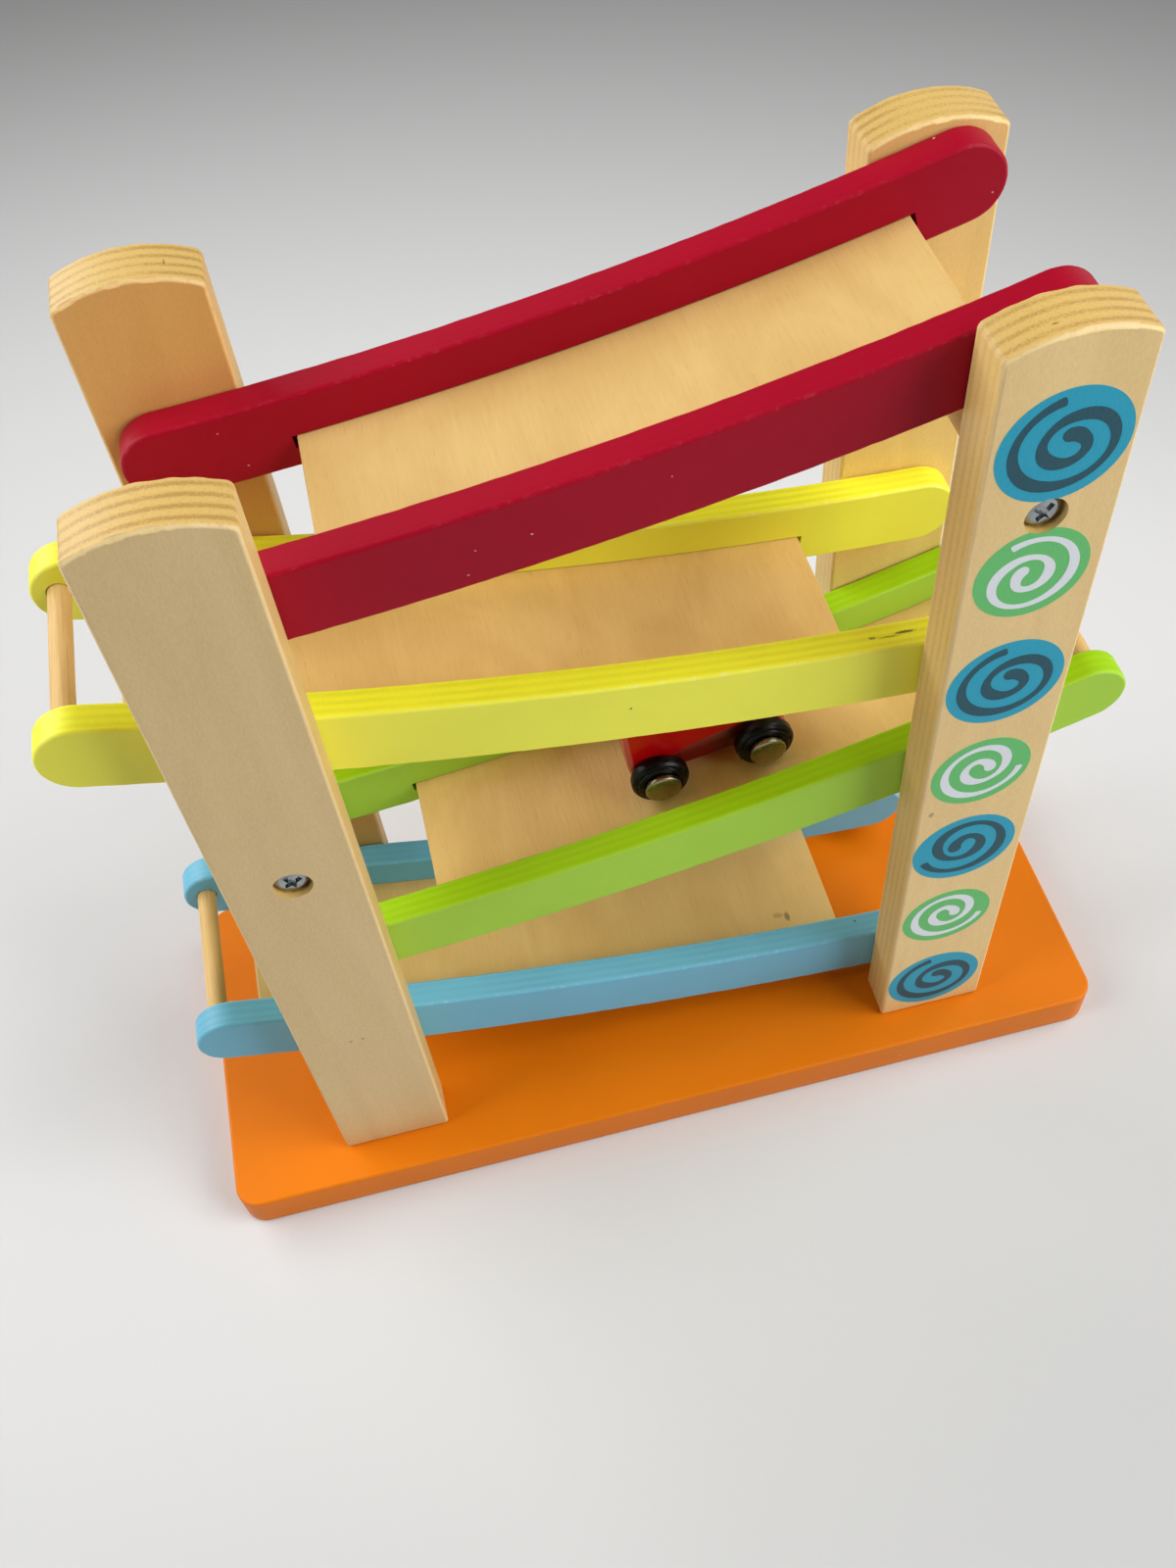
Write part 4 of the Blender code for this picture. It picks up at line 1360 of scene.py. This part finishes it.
class RACER_OT_posts(bpy.types.Operator):
    """Shape the four plywood posts with their arched tops and counterbores"""

    bl_idname = "racer.posts"
    bl_label = "Posts"

    def execute(self, context):
        sizes = context.scene.racer_sizes
        colours = context.scene.racer_colours
        holes = {}
        for screw in crossbar_screws():
            holes[screw.side, screw.end] = [counterbore(sizes, screw), pilot_hole(sizes, screw)]
        for screw in base_screws():
            holes[screw.side, screw.end].append(base_screw_hole(screw))
        for side, facing in SIDES:
            for end, way in ENDS:
                name = f"{side}_{end}"
                form = board(post_outline(sizes, way * POST_X), facing * POST_LOW.y, facing * POST_HIGH.y)
                ease(form, sizes.edge_ease)
                roughen(form, POST_SANDING, POST_HIGH.z - 2 * sizes.post_crown)
                # The post's face colour holds painted light as well as the tone of its veneer
                wood = bare_ply(f"{name}_ply", getattr(colours, f"{name}_wood"), colours, sizes.post_ply)
                add_piece(f"{name}_post_ply", form, wood, "frame", f"{name}_post",
                          holes[side, end])
        return {'FINISHED'}


class RACER_OT_prints(bpy.types.Operator):
    """Print the coloured spirals down the front right post"""

    bl_idname = "racer.prints"
    bl_label = "Spiral prints"

    def execute(self, context):
        sizes = context.scene.racer_sizes
        colours = context.scene.racer_colours
        inks = {
            "blue": (colours.print_blue, colours.print_teal, sizes.blue_print, -1),
            "green": (colours.print_green, colours.print_white, sizes.green_print, 1),
        }
        screw = next(screw for screw in crossbar_screws() if (screw.side, screw.end) == ("front", "right"))
        face = -POST_HIGH.y
        for number, spiral in enumerate(SPIRALS, 1):
            ground, stroke, radius, hand = inks[spiral.colour]
            middle = Vector((POST_X + spiral.aside, spiral.z))
            bites = abs(spiral.z - screw.middle.y) < radius + sizes.bore_radius
            skins = (
                ("disc", "ground", ground, circle(middle.x, middle.y, radius, PRINT_SIDES)),
                ("spiral", "line", stroke, self.stroke_outline(spiral, middle, radius, hand)),
            )
            for layer, (label, part, ink, outline) in enumerate(skins, 1):
                form = board(outline, face + PRINT_ROOT, face - layer * sizes.print_proud)
                cutters = [counterbore(sizes, screw)] if bites else ()
                add_piece(f"print_{number}_{label}", form, print_ink(f"{spiral.colour}_{part}_ink", ink),
                          "frame", cutters=cutters)
        return {'FINISHED'}

    def stroke_outline(self, spiral, middle, radius, hand):
        """Outline of a brushed spiral with a blunt outer end and a round inner one."""
        last = SPIRAL_LINE[-1][0]

        def at(sweep):
            angle = math.radians(spiral.end_deg - hand * sweep)
            reach = radius * smooth_through(SPIRAL_LINE, sweep)
            return middle + Vector((math.cos(angle), math.sin(angle))) * reach

        def half_width(sweep):
            press = BRUSH_PRESS * (sweep / last) ** 3
            lean = BRUSH_LEAN * math.cos(2 * math.radians(sweep - BRUSH_ANGLE))
            return (BRUSH_WIDTH[spiral.colour] + press + lean) * radius / 2

        one, other = [], []
        for step in range(SPIRAL_STEPS + 1):
            sweep = last * step / SPIRAL_STEPS
            ahead = at(min(sweep + BRUSH_SIGHT, last))
            tangent = (ahead - at(max(sweep - BRUSH_SIGHT, 0.0))).normalized()
            across = Vector((-tangent.y, tangent.x)) * half_width(sweep)
            one.append(at(sweep) + across)
            other.append(at(sweep) - across)
        inner_end = self.tip(one[-1], other[-1], ROUND_TIP)
        return one + inner_end + other[::-1] + self.tip(other[0], one[0], BLUNT_TIP)

    def tip(self, start, end, reach):
        """Inner points of an end cap from one side of a stroke to the other."""
        middle = (start + end) / 2
        arm = start - middle
        return half_turn(middle, arm, Vector((arm.y, -arm.x)) * reach, CORNER_STEPS)


class RACER_OT_rails(bpy.types.Operator):
    """Shape the eight painted rails with their deck grooves and dowel holes"""

    bl_idname = "racer.rails"
    bl_label = "Rails"

    def execute(self, context):
        sizes = context.scene.racer_sizes
        for ramp in RAMPS:
            track = Track(sizes, ramp)
            slot = f"{ramp.name}_paint"
            paint = painted_ply(f"{ramp.name}_ply", getattr(context.scene.racer_colours, slot), axis=1,
                                face=RAIL_LOW.y, layer=sizes.rail_ply, coat=COATS[ramp.name])
            for side, facing in SIDES:
                node = f"{ramp.name}_{side}_rail"
                form = board(track.rail(), facing * RAIL_LOW.y, facing * RAIL_HIGH.y)
                roughen(ease(form, sizes.edge_ease), RAIL_SANDING)
                add_piece(f"{node}_ply", form, paint, "frame", node, self.cutters(sizes, track))
        return {'FINISHED'}

    def cutters(self, sizes, track):
        """The deck's groove, and the stop dowel's hole where the ramp has one."""
        reach = DECK_HIGH.y + SEAT_GAP
        outline = track.strip(track.deck_top - SEAT_GAP, track.deck_top + sizes.deck_thick + SEAT_GAP,
                              sizes.groove_past)
        cutters = [board(outline, -reach, reach)]
        if track.ramp.has_stop:
            reach = STOP_HIGH.y + SEAT_GAP
            cutters.append(rod(track.stop(), sizes.dowel_radius + SEAT_GAP, -reach, reach))
        return cutters


class RACER_OT_decks(bpy.types.Operator):
    """Bend the four thin decks along their ramps"""

    bl_idname = "racer.decks"
    bl_label = "Decks"

    def execute(self, context):
        sizes = context.scene.racer_sizes
        for ramp in RAMPS:
            track = Track(sizes, ramp)
            node = f"{ramp.name}_deck"
            wood = deck_veneer(f"{node}_veneer", context.scene.racer_colours, DECK_PAINTED_LIGHT[ramp.name], track)
            outline = track.strip(track.deck_top, track.deck_top + sizes.deck_thick)
            form = ease(board(outline, DECK_LOW.y, DECK_HIGH.y), DECK_EASE)
            add_piece(f"{node}_strip", form, wood, "frame", node)
        return {'FINISHED'}


class RACER_OT_rods(bpy.types.Operator):
    """Turn the stop dowels and the two crossbars"""

    bl_idname = "racer.rods"
    bl_label = "Dowels and crossbars"

    def execute(self, context):
        sizes = context.scene.racer_sizes
        wood = dowel_wood("round_bar", context.scene.racer_colours)
        for ramp in RAMPS:
            if ramp.has_stop:
                node = f"{ramp.name}_stop_dowel"
                form = rod(Track(sizes, ramp).stop(), sizes.dowel_radius, STOP_LOW.y, STOP_HIGH.y)
                add_piece(f"{node}_rod", ease(form, DOWEL_EASE), wood, "frame", node)
        for end, way in ENDS:
            node = f"{end}_crossbar"
            low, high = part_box(node)
            middle = Vector((way * POST_X, (low.z + high.z) / 2))
            form = rod(middle, sizes.bar_radius, low.y, high.y, TURNED_SIDES)
            holes = [rod(middle, PILOT_RADIUS, facing * high.y * PILOT_FROM, facing * (high.y + CUT_PAST))
                     for _, facing in SIDES]
            add_piece(f"{node}_rod", ease(form, BAR_EASE), wood, "frame", node, holes)
        return {'FINISHED'}


class RACER_OT_screws(bpy.types.Operator):
    """Turn the crossbar screws and the base screws with their cross recesses"""

    bl_idname = "racer.screws"
    bl_label = "Screws"

    def execute(self, context):
        zinc = plated("zinc_plate", context.scene.racer_colours.zinc, ZINC_POLISH)
        seat = POST_HIGH.y - context.scene.racer_sizes.bore_depth
        for turn, screw in zip(SCREW_TURNS, crossbar_screws()):
            place = Matrix.Translation((screw.middle.x, screw.facing * seat, screw.middle.y))
            place = place @ facing_turn(screw.facing) @ Matrix.Rotation(turn, 4, 'Z')
            self.add_screw(screw.node, PAN_SECTION, PAN_RECESS, zinc, place)
        for screw in base_screws():
            self.add_screw(screw.node, FLAT_SECTION, FLAT_RECESS, zinc, screw.head)
        return {'FINISHED'}

    def add_screw(self, node, section, span, zinc, place):
        """One screw in its place."""
        top = section[-1][1]
        add_piece(f"{node}_turned", turned(section, ROD_SIDES), zinc, "frame", node,
                  cross_blades(top, span), place)


class RACER_OT_car_body(bpy.types.Operator):
    """Shape the car body with its side pockets and axle holes"""

    bl_idname = "racer.car_body"
    bl_label = "Car body"

    def execute(self, context):
        sizes = context.scene.racer_sizes
        place = car_place()
        half = sizes.car_width / 2
        form = ease(board(rounded(CAR_CORNERS), -half, half), sizes.car_ease, CAR_EASE_STEPS)
        cutters = []
        for _, facing in SIDES:
            cutters.append(board(rounded(POCKET_CORNERS), facing * (half - sizes.car_pocket),
                                 facing * (half + CUT_PAST)))
        for end in CAR_ENDS:
            axle = place.inverted() @ Vector(JOINTS[f"front_{end}_wheel_spin"]["pos_m"])
            low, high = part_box(f"car_{end}_axle")
            radius = (high.x - low.x) / 2 + SEAT_GAP
            cutters.append(rod(axle.xz, radius, -2 * half, 2 * half))
        paint = gloss_paint("car_gloss", context.scene.racer_colours.car_paint, half)
        add_piece("car_body_block", form, paint, "car", "car_body", cutters, place)
        return {'FINISHED'}


class RACER_OT_car_wheels(bpy.types.Operator):
    """Turn the wheels and hub caps and plate the axles"""

    bl_idname = "racer.car_wheels"
    bl_label = "Car wheels"

    def execute(self, context):
        colours = context.scene.racer_colours
        black = turned_black("wheel_black", colours.wheel_black)
        nickel = plated("nickel_plate", colours.nickel, NICKEL_POLISH)
        zinc = plated("zinc_plate", colours.zinc, ZINC_POLISH)
        for end in CAR_ENDS:
            axle_finish = frame["nodes"][f"car_{end}_axle"].data.materials
            axle_finish.clear()
            axle_finish.append(zinc)
            for side, facing in SIDES:
                wheel = f"car_{side}_{end}_wheel"
                cap = f"car_{side}_{end}_cap"
                low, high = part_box(wheel)
                hub = Vector(JOINTS[f"{side}_{end}_wheel_spin"]["pos_m"])
                inner = low.y if facing > 0 else high.y
                place = Matrix.Translation((hub.x, inner, hub.z)) @ facing_turn(facing)
                add_piece(f"{wheel}_turned", turned(WHEEL_SECTION, closed=True), black,
                          f"{side}_{end}_wheel", wheel, place=place)
                add_piece(f"{cap}_pressed", turned(CAP_SECTION), nickel, "car", cap, place=place)
        return {'FINISHED'}


GROUPS = (RacerSizes, RacerColours, RacerStage)
OPERATORS = (
    RACER_OT_stage,
    RACER_OT_base_board,
    RACER_OT_posts,
    RACER_OT_prints,
    RACER_OT_rails,
    RACER_OT_decks,
    RACER_OT_rods,
    RACER_OT_screws,
    RACER_OT_car_body,
    RACER_OT_car_wheels,
)


class RACER_PT_racer(bpy.types.Panel):
    """Lists the pieces of the racer with their sizes and colours"""

    bl_idname = "RACER_PT_racer"
    bl_label = "Car Ramp Racer"
    bl_space_type = 'VIEW_3D'
    bl_region_type = 'UI'
    bl_category = "Racer"

    def draw(self, context):
        """Draw the buttons and values."""
        for operator in OPERATORS:
            self.layout.operator(operator.bl_idname)
        for values in (context.scene.racer_sizes, context.scene.racer_colours, context.scene.racer_stage):
            box = self.layout.box()
            for name in values.__annotations__:
                box.prop(values, name)


def register():
    """Make the classes known to Blender."""
    for kind in GROUPS + OPERATORS + (RACER_PT_racer,):
        bpy.utils.register_class(kind)
    bpy.types.Scene.racer_sizes = PointerProperty(type=RacerSizes)
    bpy.types.Scene.racer_colours = PointerProperty(type=RacerColours)
    bpy.types.Scene.racer_stage = PointerProperty(type=RacerStage)


def unregister():
    """Take the classes out again."""
    del bpy.types.Scene.racer_stage
    del bpy.types.Scene.racer_colours
    del bpy.types.Scene.racer_sizes
    for kind in reversed(GROUPS + OPERATORS + (RACER_PT_racer,)):
        bpy.utils.unregister_class(kind)


def main():
    """Make every piece."""
    register()
    bpy.ops.racer.stage()
    bpy.ops.racer.base_board()
    bpy.ops.racer.posts()
    bpy.ops.racer.prints()
    bpy.ops.racer.rails()
    bpy.ops.racer.decks()
    bpy.ops.racer.rods()
    bpy.ops.racer.screws()
    bpy.ops.racer.car_body()
    bpy.ops.racer.car_wheels()


if __name__ == "__main__":
    main()
